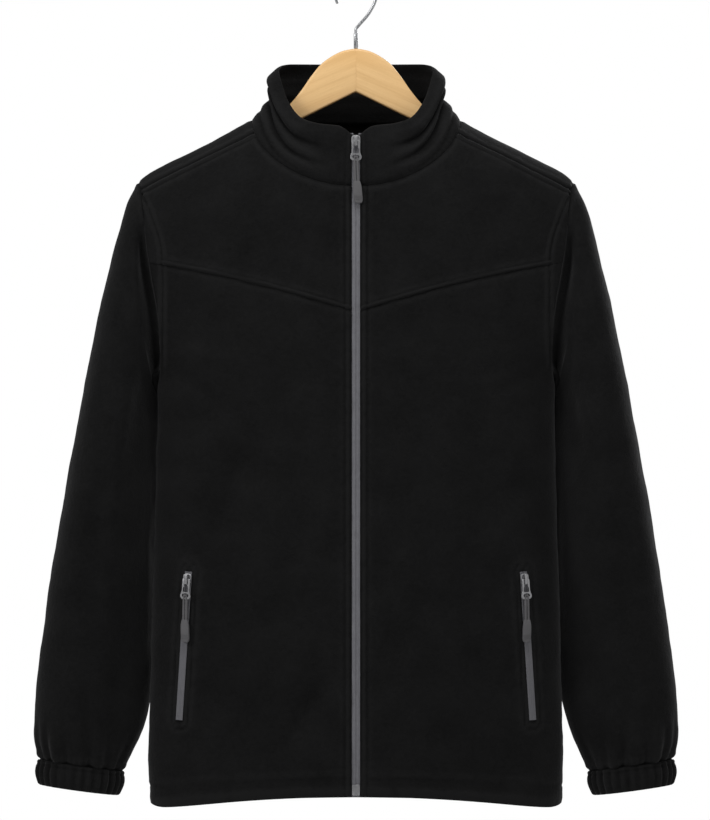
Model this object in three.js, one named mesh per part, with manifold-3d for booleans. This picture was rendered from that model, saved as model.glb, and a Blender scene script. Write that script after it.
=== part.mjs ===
// A zipped fleece jacket hung on a wooden hanger.
// Millimetres, +Z up, the front towards -Y, the wearer's right sleeve at -X.
// The origin is the inner top of the hanger's hook, where a rail holds it.

import * as THREE from 'three';
import { mergeVertices } from 'three/addons/utils/BufferGeometryUtils.js';
import Module from 'manifold-3d';

const wasm = await Module();
wasm.setup();

// Cloth
const cloth = 2.2;
const doubled = 4.4;
const seamInset = 0.18;
const edgeInset = 1.1 * seamInset;
const cornerInset = 1.5 * seamInset;
const clearance = 0.3;

// Heights on the body
const hemFront = -878.5;
const hemSide = -890.5;
const hemBack = -886;
const hemStitch = -869;
const armpit = -438;
const shoulderTip = -222;
const neckSide = -156;
const neckDrop = 72;
const neckHalfWidth = 112;
const yokeAtZip = -356.8;
const yokeBow = 5;
const neckAngleAtSeam = 76;
const neckCurve = 1.15;
const hemCurve = 1.3;
const hemStartAngle = 0.68;

// The front zip's opening and the turned edge beside it
const zipEdge = 4.6;
const turnedEdge = 8;
const foldsStop = 18;

// About how long the edges are that start with the turned edge
const neckEdgeLength = 118;
const yokeEdgeLength = 225;
const hemEdgeLength = 232;

// How many steps each edge is divided into, and a line before its points are spaced out
const fineSteps = 80;
const neckSteps = 9;
const shoulderSteps = 7;
const backNeckSteps = 7;
const wrapSteps = 2;
const sideSteps = 10;
const armholeSteps = 32;
const yokeStep = 7;
const seamStep = wrapSteps;
const armpitStep = armholeSteps / 2;

// Level sections of the body, from the hem to the neck. Above the armpit the half width runs
// on past the armhole, and from the shoulder tip up it is where the shoulder's ridge lies.
const bodySections = [
  { height: -892, halfWidth: 214, front: 70, back: 64, roundness: 2.3 },
  { height: -870, halfWidth: 219.5, front: 71, back: 65, roundness: 2.3 },
  { height: -830, halfWidth: 221, front: 71.5, back: 66, roundness: 2.3 },
  { height: -776, halfWidth: 219.5, front: 71.5, back: 66, roundness: 2.3 },
  { height: -670, halfWidth: 218.3, front: 71, back: 66, roundness: 2.3 },
  { height: -563, halfWidth: 215, front: 69, back: 65, roundness: 2.3 },
  { height: -438, halfWidth: 213.5, front: 66, back: 64, roundness: 2.3 },
  { height: -400, halfWidth: 224, front: 65, back: 64, roundness: 2.25 },
  { height: -350, halfWidth: 239, front: 64, back: 63, roundness: 2.2 },
  { height: -300, halfWidth: 248, front: 62, back: 62, roundness: 2.15 },
  { height: -260, halfWidth: 250, front: 59.5, back: 60, roundness: 2.1 },
  { height: -240, halfWidth: 246, front: 57.5, back: 58.5, roundness: 2.05 },
  { height: -222, halfWidth: 233, front: 55.5, back: 57, roundness: 2 },
  { height: -207.6, halfWidth: 213.5, front: 53.5, back: 56, roundness: 2 },
  { height: -182, halfWidth: 161.6, front: 49, back: 54.5, roundness: 2 },
  { height: -156, halfWidth: 112, front: 44, back: 53, roundness: 2 },
  { height: -130, halfWidth: 60, front: 40, back: 51, roundness: 2 },
];

// Where the armhole's seam lies, seen from the front
const armholeSections = [
  { height: -438, across: 213.5 },
  { height: -424, across: 210.6 },
  { height: -405, across: 209.4 },
  { height: -381, across: 210 },
  { height: -349, across: 214 },
  { height: -327, across: 218 },
  { height: -295, across: 223.5 },
  { height: -270, across: 226 },
  { height: -248, across: 228 },
  { height: -230.2, across: 230.5 },
  { height: -222, across: 233 },
];

// Sections of the sleeve below its head: the outer and inner ends of each, how far the inner end
// lies behind the middle, and half its depth
const sleeveSections = [
  { outer: 243, outerHeight: -242, inner: 215.6, innerHeight: -446, back: 2, depth: 36 },
  { outer: 255, outerHeight: -283, inner: 216, innerHeight: -455, back: 12, depth: 42 },
  { outer: 267, outerHeight: -330, inner: 215.5, innerHeight: -464, back: 22, depth: 48 },
  { outer: 278, outerHeight: -380, inner: 214.5, innerHeight: -474, back: 30, depth: 53 },
  { outer: 288, outerHeight: -430, inner: 213.5, innerHeight: -490, back: 35, depth: 57 },
  { outer: 299, outerHeight: -490, inner: 212.5, innerHeight: -525, back: 38, depth: 60 },
  { outer: 310, outerHeight: -550, inner: 212.5, innerHeight: -575, back: 38, depth: 60 },
  { outer: 321, outerHeight: -615, inner: 213.5, innerHeight: -636, back: 37, depth: 57 },
  { outer: 331, outerHeight: -680, inner: 215, innerHeight: -700, back: 35, depth: 53 },
  { outer: 339, outerHeight: -742, inner: 218, innerHeight: -762, back: 28, depth: 49 },
  { outer: 343.5, outerHeight: -790, inner: 225, innerHeight: -808, back: 17, depth: 45 },
  { outer: 344, outerHeight: -820, inner: 235, innerHeight: -834, back: 9, depth: 38 },
  { outer: 339.5, outerHeight: -838.5, inner: 248, innerHeight: -850, back: 5, depth: 28 },
];

// The sleeve's head: how much of the way to the first section its top turns, how far the armpit
// stands out, and how much its wall leans away from the armhole's middle
const headTurn = 0.16;
const armpitOut = 1.4;
const headLean = 1.2;

// Sections of the cuff, which gathers stand out from
const cuffSections = [
  { outer: 340.5, outerHeight: -839, inner: 248.5, innerHeight: -850.6, back: 5, depth: 28 },
  { outer: 343, outerHeight: -851, inner: 249, innerHeight: -863.5, back: 5, depth: 29.5 },
  { outer: 341.5, outerHeight: -864.5, inner: 254.5, innerHeight: -877, back: 5, depth: 28 },
];
const cuffGathers = 28;
const gatherPoints = 3;
const gatherHeight = 1.1;
const cuffWall = 3.6;

// Soft folds of the body: a line from start to end as seen from the front, how wide it is on
// each side of that line, and how far it stands out, or in where it is less than nothing
const bodyFolds = [
  { side: 'front', startX: -165, startZ: -628, endX: -111, endZ: -488, width: 24, out: -5 },
  { side: 'front', startX: -120, startZ: -650, endX: -72, endZ: -500, width: 30, out: 3 },
  { side: 'front', startX: -22, startZ: -742, endX: -88, endZ: -842, width: 22, out: -4 },
  { side: 'front', startX: 165, startZ: -600, endX: 120, endZ: -462, width: 24, out: -5 },
  { side: 'front', startX: 112, startZ: -640, endX: 82, endZ: -500, width: 30, out: 3 },
  { side: 'front', startX: 26, startZ: -664, endX: 54, endZ: -734, width: 22, out: -4 },
  { side: 'back', startX: -70, startZ: -300, endX: -120, endZ: -520, width: 34, out: -6 },
  { side: 'back', startX: 76, startZ: -310, endX: 118, endZ: -560, width: 34, out: -6 },
  { side: 'back', startX: -30, startZ: -560, endX: -76, endZ: -800, width: 32, out: -5 },
  { side: 'back', startX: 44, startZ: -600, endX: 70, endZ: -820, width: 30, out: -4.5 },
  { side: 'back', startX: 6, startZ: -420, endX: 14, endZ: -760, width: 36, out: 4 },
];

// Soft folds of the sleeve, placed by section number and by the angle round it from the top:
// 90 degrees faces front and 270 faces back
const sleeveFolds = [
  { from: 2, to: 7, angle: 128, turn: -16, width: 16, out: -5 },
  { from: 5, to: 11, angle: 62, turn: 26, width: 18, out: -4 },
  { from: 8, to: 13, angle: 110, turn: 10, width: 14, out: -4 },
  { from: 2, to: 8, angle: 236, turn: 18, width: 18, out: -5 },
  { from: 7, to: 13, angle: 292, turn: -24, width: 18, out: -4 },
];

// The collar: how far its rim stands from the middle, and how high, by the angle from the front
const collarHalfWidth = 88;
const collarFront = 51;
const collarBack = 49;
const collarRim = [
  { height: 0, level: -176 },
  { height: 4, level: -172 },
  { height: 12, level: -164 },
  { height: 30, level: -160.5 },
  { height: 45, level: -154 },
  { height: 60, level: -138 },
  { height: 75, level: -118 },
  { height: 90, level: -104 },
  { height: 110, level: -98.5 },
  { height: 180, level: -97 },
];
const collarRows = 6;
const collarTuck = 7.5;
const collarCrease = 1.8;
const collarRoll = 2;
const collarLip = 2.5;
const collarLipHeight = 0.15;
const collarTuckHeight = 0.75;

// Zips
const coilSink = 1;
const tapeSplit = 0.15;
const tapeThickness = 1.2;
const tapeHalfWidth = 12;
const zipAboveRim = 2;
const pocketTop = { x: 178.2, z: -638.8 };
const pocketBottom = { x: 188.3, z: -797.2 };
const pocketHalfWidth = 4;
const pocketLift = 0.45;
const pocketThickness = 1;
const pocketRows = 9;
const pullHeightOnZip = -180;
const pullHeightOnPocket = -647;
const boxTop = -864.5;
const boxBottom = -876;

// The slider and its pull, measured from the pull's axis: across, out, and along the zip
const sliderWidth = 8.4;
const sliderTop = 5;
const sliderBottom = -4.6;
const sliderPlate = 1.5;
const sliderLift = 0.3;
const bridgeWidth = 2.2;
const bridgeHalfLength = 3;
const bridgeHole = 1.4;
const bridgeBeam = 1;
const tabThickness = 1.4;
const tabWidth = 7.6;
const tabLength = 20;
const tabBar = 0.7;
const tabSlot = -7;
const tabNarrows = -11;
const eyeMiddle = -17.1;
const eyeHalfWidth = 2.1;
const eyeHalfHeight = 1.3;
const pullerWidth = 6.2;
const pullerThickness = 3;
const pullerTop = -14.8;
const tipTop = -43;
const tipBottom = -66;
const tipWidth = 8.8;
const tipThickness = 3.5;

// Hanger
const woodThickness = 13;
const woodTop = -79.2;
const woodApex = -125.2;
const woodBevel = 1.8;
const armStart = 112;
const armEnd = 204;
const armSink = 5;
const armDepth = 21;
const wire = 1.6;
const hookRadius = 22;
const stemRadius = 2.3;
const stemTop = -62;
const hookStart = -22;
const hookEnd = 203;
const hookSides = 8;

// The wood's upper edge from its middle to its arm, and the wire's bend from the stem to the hook
const woodNeck = [
  [4, woodTop], [13, -81.5], [24, -88.2], [38, -96.1],
  [47, -107.6], [57.5, -123.7], [66.3, -133.4], [74.3, -140.8],
];
const wireBend = [[0, -58], [3, -53.8], [7.5, -48.8], [12.2, -43.4], [16.3, -37]];

const vector = (x, y, z) => new THREE.Vector3(x, y, z);
const lerp = THREE.MathUtils.lerp;
const clamp = THREE.MathUtils.clamp;
const radians = THREE.MathUtils.degToRad;

// A smooth curve through one column of a table whose heights rise
function columnCurve(rows, column) {
  const at = rows.map((row) => row.height);
  const value = rows.map((row) => row[column]);
  const last = rows.length - 1;
  const slope = value.map((_, k) => {
    const low = Math.max(k - 1, 0);
    const high = Math.min(k + 1, last);
    return (value[high] - value[low]) / (at[high] - at[low]);
  });
  return (height) => {
    if (height <= at[0]) return value[0] + slope[0] * (height - at[0]);
    if (height >= at[last]) return value[last] + slope[last] * (height - at[last]);
    let k = 0;
    while (height > at[k + 1]) k += 1;
    const span = at[k + 1] - at[k];
    const t = (height - at[k]) / span;
    const rise = t * t * (3 - 2 * t);
    const start = t * (1 - t) * (1 - t) * span * slope[k];
    const end = t * t * (1 - t) * span * slope[k + 1];
    return lerp(value[k], value[k + 1], rise) + start - end;
  };
}

const halfWidthAt = columnCurve(bodySections, 'halfWidth');
const frontAt = columnCurve(bodySections, 'front');
const backAt = columnCurve(bodySections, 'back');
const roundnessAt = columnCurve(bodySections, 'roundness');
const armholeAt = columnCurve(armholeSections, 'across');
const rimAt = columnCurve(collarRim, 'level');

// One on the body's surface and less inside it
function bodyLevel(p) {
  const depth = p.y < 0 ? frontAt(p.z) : backAt(p.z);
  const n = roundnessAt(p.z);
  return (Math.abs(p.x / halfWidthAt(p.z)) ** n + Math.abs(p.y / depth) ** n) ** (1 / n);
}

function bodyGradient(p) {
  const step = 0.05;
  const along = (dx, dy, dz) =>
    (bodyLevel(vector(p.x + dx, p.y + dy, p.z + dz)) -
      bodyLevel(vector(p.x - dx, p.y - dy, p.z - dz))) / (2 * step);
  return vector(along(step, 0, 0), along(0, step, 0), along(0, 0, step));
}

const bodyNormal = (p) => bodyGradient(p).normalize();

// Moves a point straight onto the body's surface
function ontoBody(p) {
  const q = p.clone();
  for (let round = 0; round < 8; round += 1) {
    const gradient = bodyGradient(q);
    q.addScaledVector(gradient, (1 - bodyLevel(q)) / gradient.lengthSq());
  }
  return q;
}

// The point of the body's surface at x and z, on the front or the back
function bodyPoint(x, z, side) {
  const n = roundnessAt(z);
  const left = Math.max(0, 1 - Math.abs(x / halfWidthAt(z)) ** n) ** (1 / n);
  return vector(x, side === 'front' ? -frontAt(z) * left : backAt(z) * left, z);
}

// How far the folds move a point out
function foldAt(p) {
  let out = 0;
  for (const fold of bodyFolds) {
    if ((fold.side === 'front') !== (p.y < 0)) continue;
    const dx = fold.endX - fold.startX;
    const dz = fold.endZ - fold.startZ;
    const length = Math.hypot(dx, dz);
    const along = ((p.x - fold.startX) * dx + (p.z - fold.startZ) * dz) / (length * length);
    const aside = ((p.x - fold.startX) * dz - (p.z - fold.startZ) * dx) / length;
    const fade = Math.sin(Math.PI * clamp(along, 0, 1));
    out += fold.out * fade * Math.exp(-((aside / fold.width) ** 2));
  }
  const fromZip = clamp((Math.abs(p.x) - foldsStop) / foldsStop, 0, 1);
  return p.y < 0 ? out * fromZip * fromZip * (3 - 2 * fromZip) : out;
}

// Points at given shares of the length of a line of points
function resample(line, shares) {
  const total = [0];
  for (let k = 1; k < line.length; k += 1) total.push(total[k - 1] + line[k].distanceTo(line[k - 1]));
  const length = total[line.length - 1];
  return shares.map((share) => {
    const want = share * length;
    let k = 1;
    while (k < line.length - 1 && total[k] < want) k += 1;
    const t = (want - total[k - 1]) / (total[k] - total[k - 1]);
    return line[k - 1].clone().lerp(line[k], t);
  });
}

const evenly = (steps) => Array.from({ length: steps + 1 }, (_, k) => k / steps);
const sample = (steps, place) => evenly(steps).map(place);

// Shares of a line whose first step is as wide as the turned edge
function edgedShares(steps, length) {
  const first = turnedEdge / length;
  return Array.from({ length: steps + 1 }, (_, k) => (k === 0 ? 0 : lerp(first, 1, (k - 1) / (steps - 1))));
}

// The seam lines of the body, on the side of +X

function armholePoint(step) {
  const angle = radians((360 / armholeSteps) * step);
  const z = (shoulderTip + armpit) / 2 + ((shoulderTip - armpit) / 2) * Math.cos(angle);
  const side = step <= armpitStep ? 'front' : 'back';
  const p = bodyPoint(Math.min(armholeAt(z), halfWidthAt(z)), z, side);
  if (step % armpitStep === 0) p.y = 0;
  return p;
}

function neckPoint(degrees) {
  const angle = radians(degrees);
  const across = neckHalfWidth * Math.sin(angle);
  if (degrees >= 90) return bodyPoint(across, neckSide, 'back');
  return bodyPoint(across, neckSide - neckDrop * Math.cos(angle) ** neckCurve, 'front');
}

const neckZipAngle = THREE.MathUtils.radToDeg(Math.asin(zipEdge / neckHalfWidth));

function neckFrontLine() {
  const line = sample(fineSteps, (t) => neckPoint(lerp(neckZipAngle, neckAngleAtSeam, t)));
  return resample(line, edgedShares(neckSteps, neckEdgeLength));
}

// The angles of the neckline's points from the shoulder's seam over the ridge to the middle back
function neckBackAngles() {
  const wrap = sample(wrapSteps, (t) => lerp(neckAngleAtSeam, 90, t));
  return [...wrap, ...sample(backNeckSteps, (t) => lerp(90, 180, t)).slice(1)];
}

// The ridge over the shoulder, from the tip to the neck
function ridgeLine() {
  const line = sample(fineSteps, (t) => {
    const z = lerp(shoulderTip, neckSide, t);
    return vector(halfWidthAt(z), 0, z);
  });
  return resample(line, evenly(shoulderSteps));
}

function shoulderSeam() {
  const neck = neckPoint(neckAngleAtSeam);
  const tip = armholePoint(seamStep);
  const line = sample(fineSteps, (t) => bodyPoint(lerp(neck.x, tip.x, t), lerp(neck.z, tip.z, t), 'front'));
  return resample(line, evenly(shoulderSteps));
}

const frontSteps = neckSteps + shoulderSteps;

function yokeSeam() {
  const end = armholePoint(yokeStep);
  const line = sample(fineSteps, (t) =>
    bodyPoint(lerp(zipEdge, end.x, t), lerp(yokeAtZip, end.z, t) + 4 * yokeBow * t * (1 - t), 'front'));
  return resample(line, edgedShares(frontSteps, yokeEdgeLength));
}

function levelPoint(degrees, z) {
  const n = roundnessAt(z);
  const angle = radians(degrees);
  const across = halfWidthAt(z) * Math.abs(Math.sin(angle)) ** (2 / n);
  const depth = Math.abs(Math.cos(angle)) ** (2 / n);
  return vector(across, degrees < 90 ? -frontAt(z) * depth : backAt(z) * depth, z);
}

function hemFrontLine() {
  const line = sample(fineSteps, (t) =>
    levelPoint(lerp(hemStartAngle, 90, t), lerp(hemFront, hemSide, t ** hemCurve)));
  return resample(line, edgedShares(frontSteps, hemEdgeLength));
}

function hemBackLine() {
  const line = sample(fineSteps, (t) => levelPoint(lerp(90, 180, t), lerp(hemSide, hemBack, t)));
  return resample(line, evenly(backNeckSteps + shoulderSteps));
}

function sideHeights() {
  const above = sample(sideSteps - 1, (t) => lerp(hemStitch, armpit, t));
  return [hemSide, ...above];
}

const sideLine = () => sideHeights().map((z) => vector(halfWidthAt(z), 0, z));

function range(from, to) {
  return Array.from({ length: to - from + 1 }, (_, k) => from + k);
}

// A sheet between four edges, laid onto the body. Each edge's own shape fades away from it
// at its power.
function sheetBetween(low, high, left, right, lowShares, power) {
  const rows = left.length - 1;
  const columns = low.length - 1;
  const corner = (line) => [line[0], line[line.length - 1]];
  const [leftLow, leftHigh] = corner(left);
  const [rightLow, rightHigh] = corner(right);
  const lengths = [0];
  for (let j = 1; j <= rows; j += 1) lengths.push(lengths[j - 1] + right[j].distanceTo(right[j - 1]));
  const grid = [];
  for (let j = 0; j <= rows; j += 1) {
    const v = lengths[j] / lengths[rows];
    const row = [];
    for (let i = 0; i <= columns; i += 1) {
      const u = lowShares[i];
      if (j === 0) row.push(low[i].clone());
      else if (j === rows) row.push(high[i].clone());
      else if (i === 0) row.push(left[j].clone());
      else if (i === columns) row.push(right[j].clone());
      else {
        const leftSide = leftLow.clone().lerp(leftHigh, v);
        const rightSide = rightLow.clone().lerp(rightHigh, v);
        const p = leftSide.clone().lerp(rightSide, u);
        p.addScaledVector(low[i].clone().sub(leftLow.clone().lerp(rightLow, u)), (1 - v) ** power.low);
        p.addScaledVector(high[i].clone().sub(leftHigh.clone().lerp(rightHigh, u)), v ** power.high);
        p.addScaledVector(left[j].clone().sub(leftSide), (1 - u) ** power.side);
        p.addScaledVector(right[j].clone().sub(rightSide), u ** power.side);
        row.push(ontoBody(p));
      }
    }
    grid.push(row);
  }
  return grid;
}

// The cells of a grid whose four corners are all there
function cellsOf(grid) {
  const cells = [];
  for (let j = 0; j < grid.length - 1; j += 1) {
    for (let i = 0; i < grid[j].length - 1; i += 1) {
      if (grid[j][i] && grid[j][i + 1] && grid[j + 1][i] && grid[j + 1][i + 1]) cells.push([j, i]);
    }
  }
  return cells;
}

// Draws the edges and the corners of a sheet back into it, so that two sheets are parted at a seam
function insetEdges(grid) {
  const touching = grid.map((row) => row.map(() => []));
  for (const [j, i] of cellsOf(grid)) {
    const middle = grid[j][i].clone().add(grid[j][i + 1]).add(grid[j + 1][i]).add(grid[j + 1][i + 1]);
    middle.divideScalar(4);
    for (const [dj, di] of [[0, 0], [0, 1], [1, 0], [1, 1]]) touching[j + dj][i + di].push(middle);
  }
  return grid.map((row, j) => row.map((p, i) => {
    const near = touching[j][i];
    if (!p || near.length === 4 || near.length === 0) return p && p.clone();
    const inwards = near.reduce((sum, q) => sum.add(q.clone().sub(p).normalize()), vector(0, 0, 0));
    const inset = near.length === 2 ? edgeInset : cornerInset;
    return p.clone().addScaledVector(inwards.normalize(), inset);
  }));
}

// A closed wall between an outer and an inner grid of points, with a rim round its open edges.
// A ring joins up across its columns.
function wallGeometry(outer, inner, ring) {
  const columns = outer[0].length;
  const close = (grid) => (ring ? grid.map((row) => [...row, row[0]]) : grid);
  const layer = outer.length * columns;
  const positions = [];
  for (const grid of [outer, inner]) {
    for (const row of grid) for (const p of row) positions.push(...(p ? p.toArray() : [0, 0, 0]));
  }
  const at = (j, i) => j * columns + (i % columns);
  const indices = [];
  const edges = new Map();
  const quad = (a, b, c, d) => indices.push(a, b, c, a, c, d);
  for (const [j, i] of cellsOf(close(outer))) {
    const corners = [at(j, i), at(j, i + 1), at(j + 1, i + 1), at(j + 1, i)];
    const [a, b, c, d] = corners;
    quad(a, b, c, d);
    quad(layer + d, layer + c, layer + b, layer + a);
    corners.forEach((from, k) => {
      const to = corners[(k + 1) % 4];
      if (edges.has(`${to} ${from}`)) edges.delete(`${to} ${from}`);
      else edges.set(`${from} ${to}`, [from, to]);
    });
  }
  for (const [from, to] of edges.values()) quad(to, from, layer + from, layer + to);
  return facingOut(positions, indices);
}

// Turns the faces over if the solid's volume comes out less than nothing
function facingOut(positions, indices) {
  const corner = (k) => vector(positions[3 * k], positions[3 * k + 1], positions[3 * k + 2]);
  let volume = 0;
  for (let k = 0; k < indices.length; k += 3) {
    volume += corner(indices[k]).dot(corner(indices[k + 1]).cross(corner(indices[k + 2])));
  }
  if (volume < 0) indices.reverse();
  const geometry = new THREE.BufferGeometry();
  geometry.setAttribute('position', new THREE.Float32BufferAttribute(positions, 3));
  geometry.setIndex(indices);
  return geometry;
}

// A cloth panel of the body: its folds move it out, and its wall goes in from there
function panelGeometry(grid, wallAt) {
  const base = insetEdges(grid);
  const moved = (p, out) => p && p.clone().addScaledVector(bodyNormal(p), foldAt(p) + out);
  const outer = base.map((row) => row.map((p) => moved(p, 0)));
  const inner = base.map((row, j) => row.map((p, i) => moved(p, -wallAt(i, j))));
  return wallGeometry(outer, inner, false);
}

const mirrored = (p) => vector(-p.x, p.y, p.z);

const onSide = (grid, sideSign) => (sideSign > 0 ? grid : grid.map((row) => row.map(mirrored)));

function frontPanel(sideSign) {
  const low = hemFrontLine();
  const high = yokeSeam();
  const right = [...sideLine(), ...range(yokeStep, armpitStep - 1).reverse().map(armholePoint)];
  const top = right[right.length - 1].z;
  const left = right.map((p) => {
    const z = lerp(hemFront, yokeAtZip, (p.z - hemSide) / (top - hemSide));
    return bodyPoint(zipEdge, z, 'front');
  });
  left[0] = low[0].clone();
  const shares = edgedShares(frontSteps, hemEdgeLength);
  const grid = sheetBetween(low, high, left, right, shares, { low: 0.6, high: 2.5, side: 2 });
  return panelGeometry(onSide(grid, sideSign), (i, j) => (i <= 1 || j <= 1 ? doubled : cloth));
}

function frontYoke(sideSign) {
  const low = yokeSeam();
  const high = [...neckFrontLine(), ...shoulderSeam().slice(1)];
  const right = range(seamStep, yokeStep).reverse().map(armholePoint);
  const top = high[0];
  const left = sample(yokeStep - seamStep, (t) => bodyPoint(zipEdge, lerp(yokeAtZip, top.z, t), 'front'));
  const shares = edgedShares(frontSteps, yokeEdgeLength);
  const grid = sheetBetween(low, high, left, right, shares, { low: 1, high: 1, side: 2 });
  return panelGeometry(onSide(grid, sideSign), (i) => (i <= 1 ? doubled : cloth));
}

// A line on the side of +X, from the side to the middle, carried on to the other side
function acrossMiddle(half) {
  return [...half, ...half.slice(0, -1).reverse().map(mirrored)];
}

// The back goes up to the ridge and the neck, and on over each shoulder to the seam in front
function backPanel() {
  const neck = neckBackAngles().map(neckPoint);
  const ridge = ridgeLine();
  const low = acrossMiddle(hemBackLine());
  const high = acrossMiddle([...ridge, ...neck.slice(wrapSteps + 1)]);
  const left = [...sideLine(), ...range(armpitStep + 1, armholeSteps).map(armholePoint)];
  const grid = sheetBetween(low, high, left, left.map(mirrored), evenly(low.length - 1), {
    low: 0.6, high: 2.5, side: 3,
  });
  const seam = shoulderSeam().reverse();
  const ridgeRow = grid.length - 1;
  for (let step = 1; step <= wrapSteps; step += 1) {
    const half = ridge.map((p, i) => {
      if (i === 0) return armholePoint(step);
      if (i === shoulderSteps) return neck[wrapSteps - step].clone();
      return step === wrapSteps ? seam[i].clone() : ontoBody(p.clone().lerp(seam[i], step / wrapSteps));
    });
    const empty = Array.from({ length: 2 * backNeckSteps - 1 }, () => null);
    grid.push([...half, ...empty, ...half.map(mirrored).reverse()]);
  }
  return panelGeometry(grid, (i, j) => (j <= 1 && j < ridgeRow ? doubled : cloth));
}

// The collar, a doubled standing band from one side of the zip round to the other

function collarColumn(base, degrees) {
  const angle = radians(degrees);
  const depth = degrees < 90 ? -collarFront : collarBack;
  const rim = vector(Math.max(zipEdge, collarHalfWidth * Math.sin(angle)), depth * Math.abs(Math.cos(angle)),
    rimAt(degrees));
  const start = base.clone().add(vector(0, 0, clearance));
  const beside = Math.sin(angle) ** 2;
  const outward = vector(Math.sin(angle), -Math.cos(angle), 0);
  return sample(collarRows, (t) => {
    const p = start.clone().lerp(rim, t);
    const tuck = collarTuck * beside * Math.sin(Math.PI * Math.min(1, t / collarTuckHeight));
    const lip = collarLip * beside * Math.max(0, 1 - (1 - t) / collarLipHeight);
    const roll = collarRoll * Math.sin(Math.PI * t) - lip;
    const crease = collarCrease * beside * Math.sin(t * 3 * Math.PI);
    return p.addScaledVector(outward, roll - tuck + crease);
  });
}

function collarGeometry() {
  const front = neckFrontLine();
  const half = [
    ...front.map((p) => [p, THREE.MathUtils.radToDeg(Math.asin(Math.min(1, p.x / neckHalfWidth)))]),
    ...neckBackAngles().slice(1).map((degrees) => [neckPoint(degrees), degrees]),
  ];
  const halfColumns = half.map(([p, degrees]) => collarColumn(p, degrees));
  const columns = [...halfColumns, ...halfColumns.slice(0, -1).reverse().map((c) => c.map(mirrored))];
  const outer = evenly(collarRows).map((_, j) => columns.map((column) => column[j]));
  const inner = outer.map((row) => row.map((p, i) => {
    const before = row[Math.max(0, i - 1)];
    const after = row[Math.min(row.length - 1, i + 1)];
    const along = after.clone().sub(before).setZ(0).normalize();
    const inward = vector(-along.y, along.x, 0);
    if (i === 0 || i === row.length - 1) inward.set(0, 1, 0);
    return p.clone().addScaledVector(inward, doubled);
  }));
  return wallGeometry(outer, inner, false);
}

// A ring of points round one sleeve or cuff section, from its outer end by the front
function sleeveRing(section, count, out) {
  const middle = vector((section.outer + section.inner) / 2, 0, (section.outerHeight + section.innerHeight) / 2);
  const half = vector(section.outer, 0, section.outerHeight).sub(middle);
  return Array.from({ length: count }, (_, k) => {
    const angle = (2 * Math.PI * k) / count;
    const behind = section.back * ((1 - Math.cos(angle)) / 2) ** 1.5;
    const far = vector(0, -section.depth * Math.sin(angle), 0).addScaledVector(half, Math.cos(angle));
    far.addScaledVector(far.clone().normalize(), out(k));
    return far.add(middle).add(vector(0, behind, 0));
  });
}

// How far the sleeve's folds move a point out, by its section number and angle
function sleeveFoldAt(row, degrees) {
  let out = 0;
  for (const fold of sleeveFolds) {
    const along = (row - fold.from) / (fold.to - fold.from);
    if (along <= 0 || along >= 1) continue;
    const aside = degrees - fold.angle - fold.turn * along;
    out += fold.out * Math.sin(Math.PI * along) * Math.exp(-((aside / fold.width) ** 2));
  }
  return out;
}

// Normals of a ring of points from its neighbours, turned away from the ring's middle
function ringNormals(rings, j) {
  const ring = rings[j];
  const count = ring.length;
  const before = rings[Math.max(0, j - 1)];
  const after = rings[Math.min(rings.length - 1, j + 1)];
  const middle = ring.reduce((sum, p) => sum.add(p), vector(0, 0, 0)).divideScalar(count);
  return ring.map((p, i) => {
    const round = ring[(i + 1) % count].clone().sub(ring[(i + count - 1) % count]);
    const along = after[i].clone().sub(before[i]);
    const normal = round.cross(along).normalize();
    return normal.dot(p.clone().sub(middle)) < 0 ? normal.negate() : normal;
  });
}

function sleeveGeometry() {
  const seam = range(0, armholeSteps - 1).map(armholePoint);
  const seamNormals = seam.map(bodyNormal);
  const lower = sleeveSections.map((section, row) =>
    sleeveRing(section, armholeSteps, (k) => sleeveFoldAt(row + 1, (360 * k) / armholeSteps)));
  const middle = vector(seam[0].x, 0, (shoulderTip + armpit) / 2);
  const turned = seam.map((p, k) => {
    const beneath = (1 - Math.cos((2 * Math.PI * k) / armholeSteps)) / 2;
    return p.clone().lerp(lower[0][k], headTurn * (1 - beneath)).add(vector(armpitOut * beneath, 0, 0));
  });
  const falling = turned.map((p, k) => p.clone().lerp(lower[0][k], 0.5));
  const rings = [seam, turned, falling, ...lower];
  const walls = rings.map((ring, j) => {
    if (j === 0) return seamNormals;
    const own = ringNormals(rings, Math.max(2, j));
    if (j > 1) return own;
    return ring.map((p, k) => {
      const away = p.clone().sub(middle).setX(0).normalize();
      return seamNormals[k].clone().add(own[k]).addScaledVector(away, headLean).normalize();
    });
  });
  const outer = rings.map((ring, j) => ring.map((p, k) => {
    if (j > 0) return p;
    const beneath = (1 - Math.cos((2 * Math.PI * k) / armholeSteps)) / 2;
    const apart = vector(1 - beneath, 0, beneath).normalize();
    return p.clone().addScaledVector(apart, 2 * seamInset * (1 + beneath));
  }));
  const inner = outer.map((ring, j) => ring.map((p, k) => p.clone().addScaledVector(walls[j][k], -cloth)));
  return wallGeometry(outer, inner, true);
}

function cuffGeometry() {
  const count = cuffGathers * gatherPoints;
  const wave = (k) => Math.cos((2 * Math.PI * k) / gatherPoints);
  const rings = cuffSections.map((section) => sleeveRing(section, count, (k) => gatherHeight * wave(k)));
  const plain = cuffSections.map((section) => sleeveRing(section, count, () => -cuffWall));
  return wallGeometry(rings, plain, true);
}

// The zip's middle line, down the collar's edge and the front
function zipLine() {
  const fronts = [...frontLeftHeights(), ...yokeHeights()];
  const body = fronts.map((z) => bodyPoint(0, z, 'front'));
  const rim = collarColumn(neckPoint(neckZipAngle), neckZipAngle);
  const collar = rim.slice(1).map((p) => vector(0, p.y, p.z));
  collar[collar.length - 1].z += zipAboveRim;
  return [...body, ...collar];
}

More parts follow.
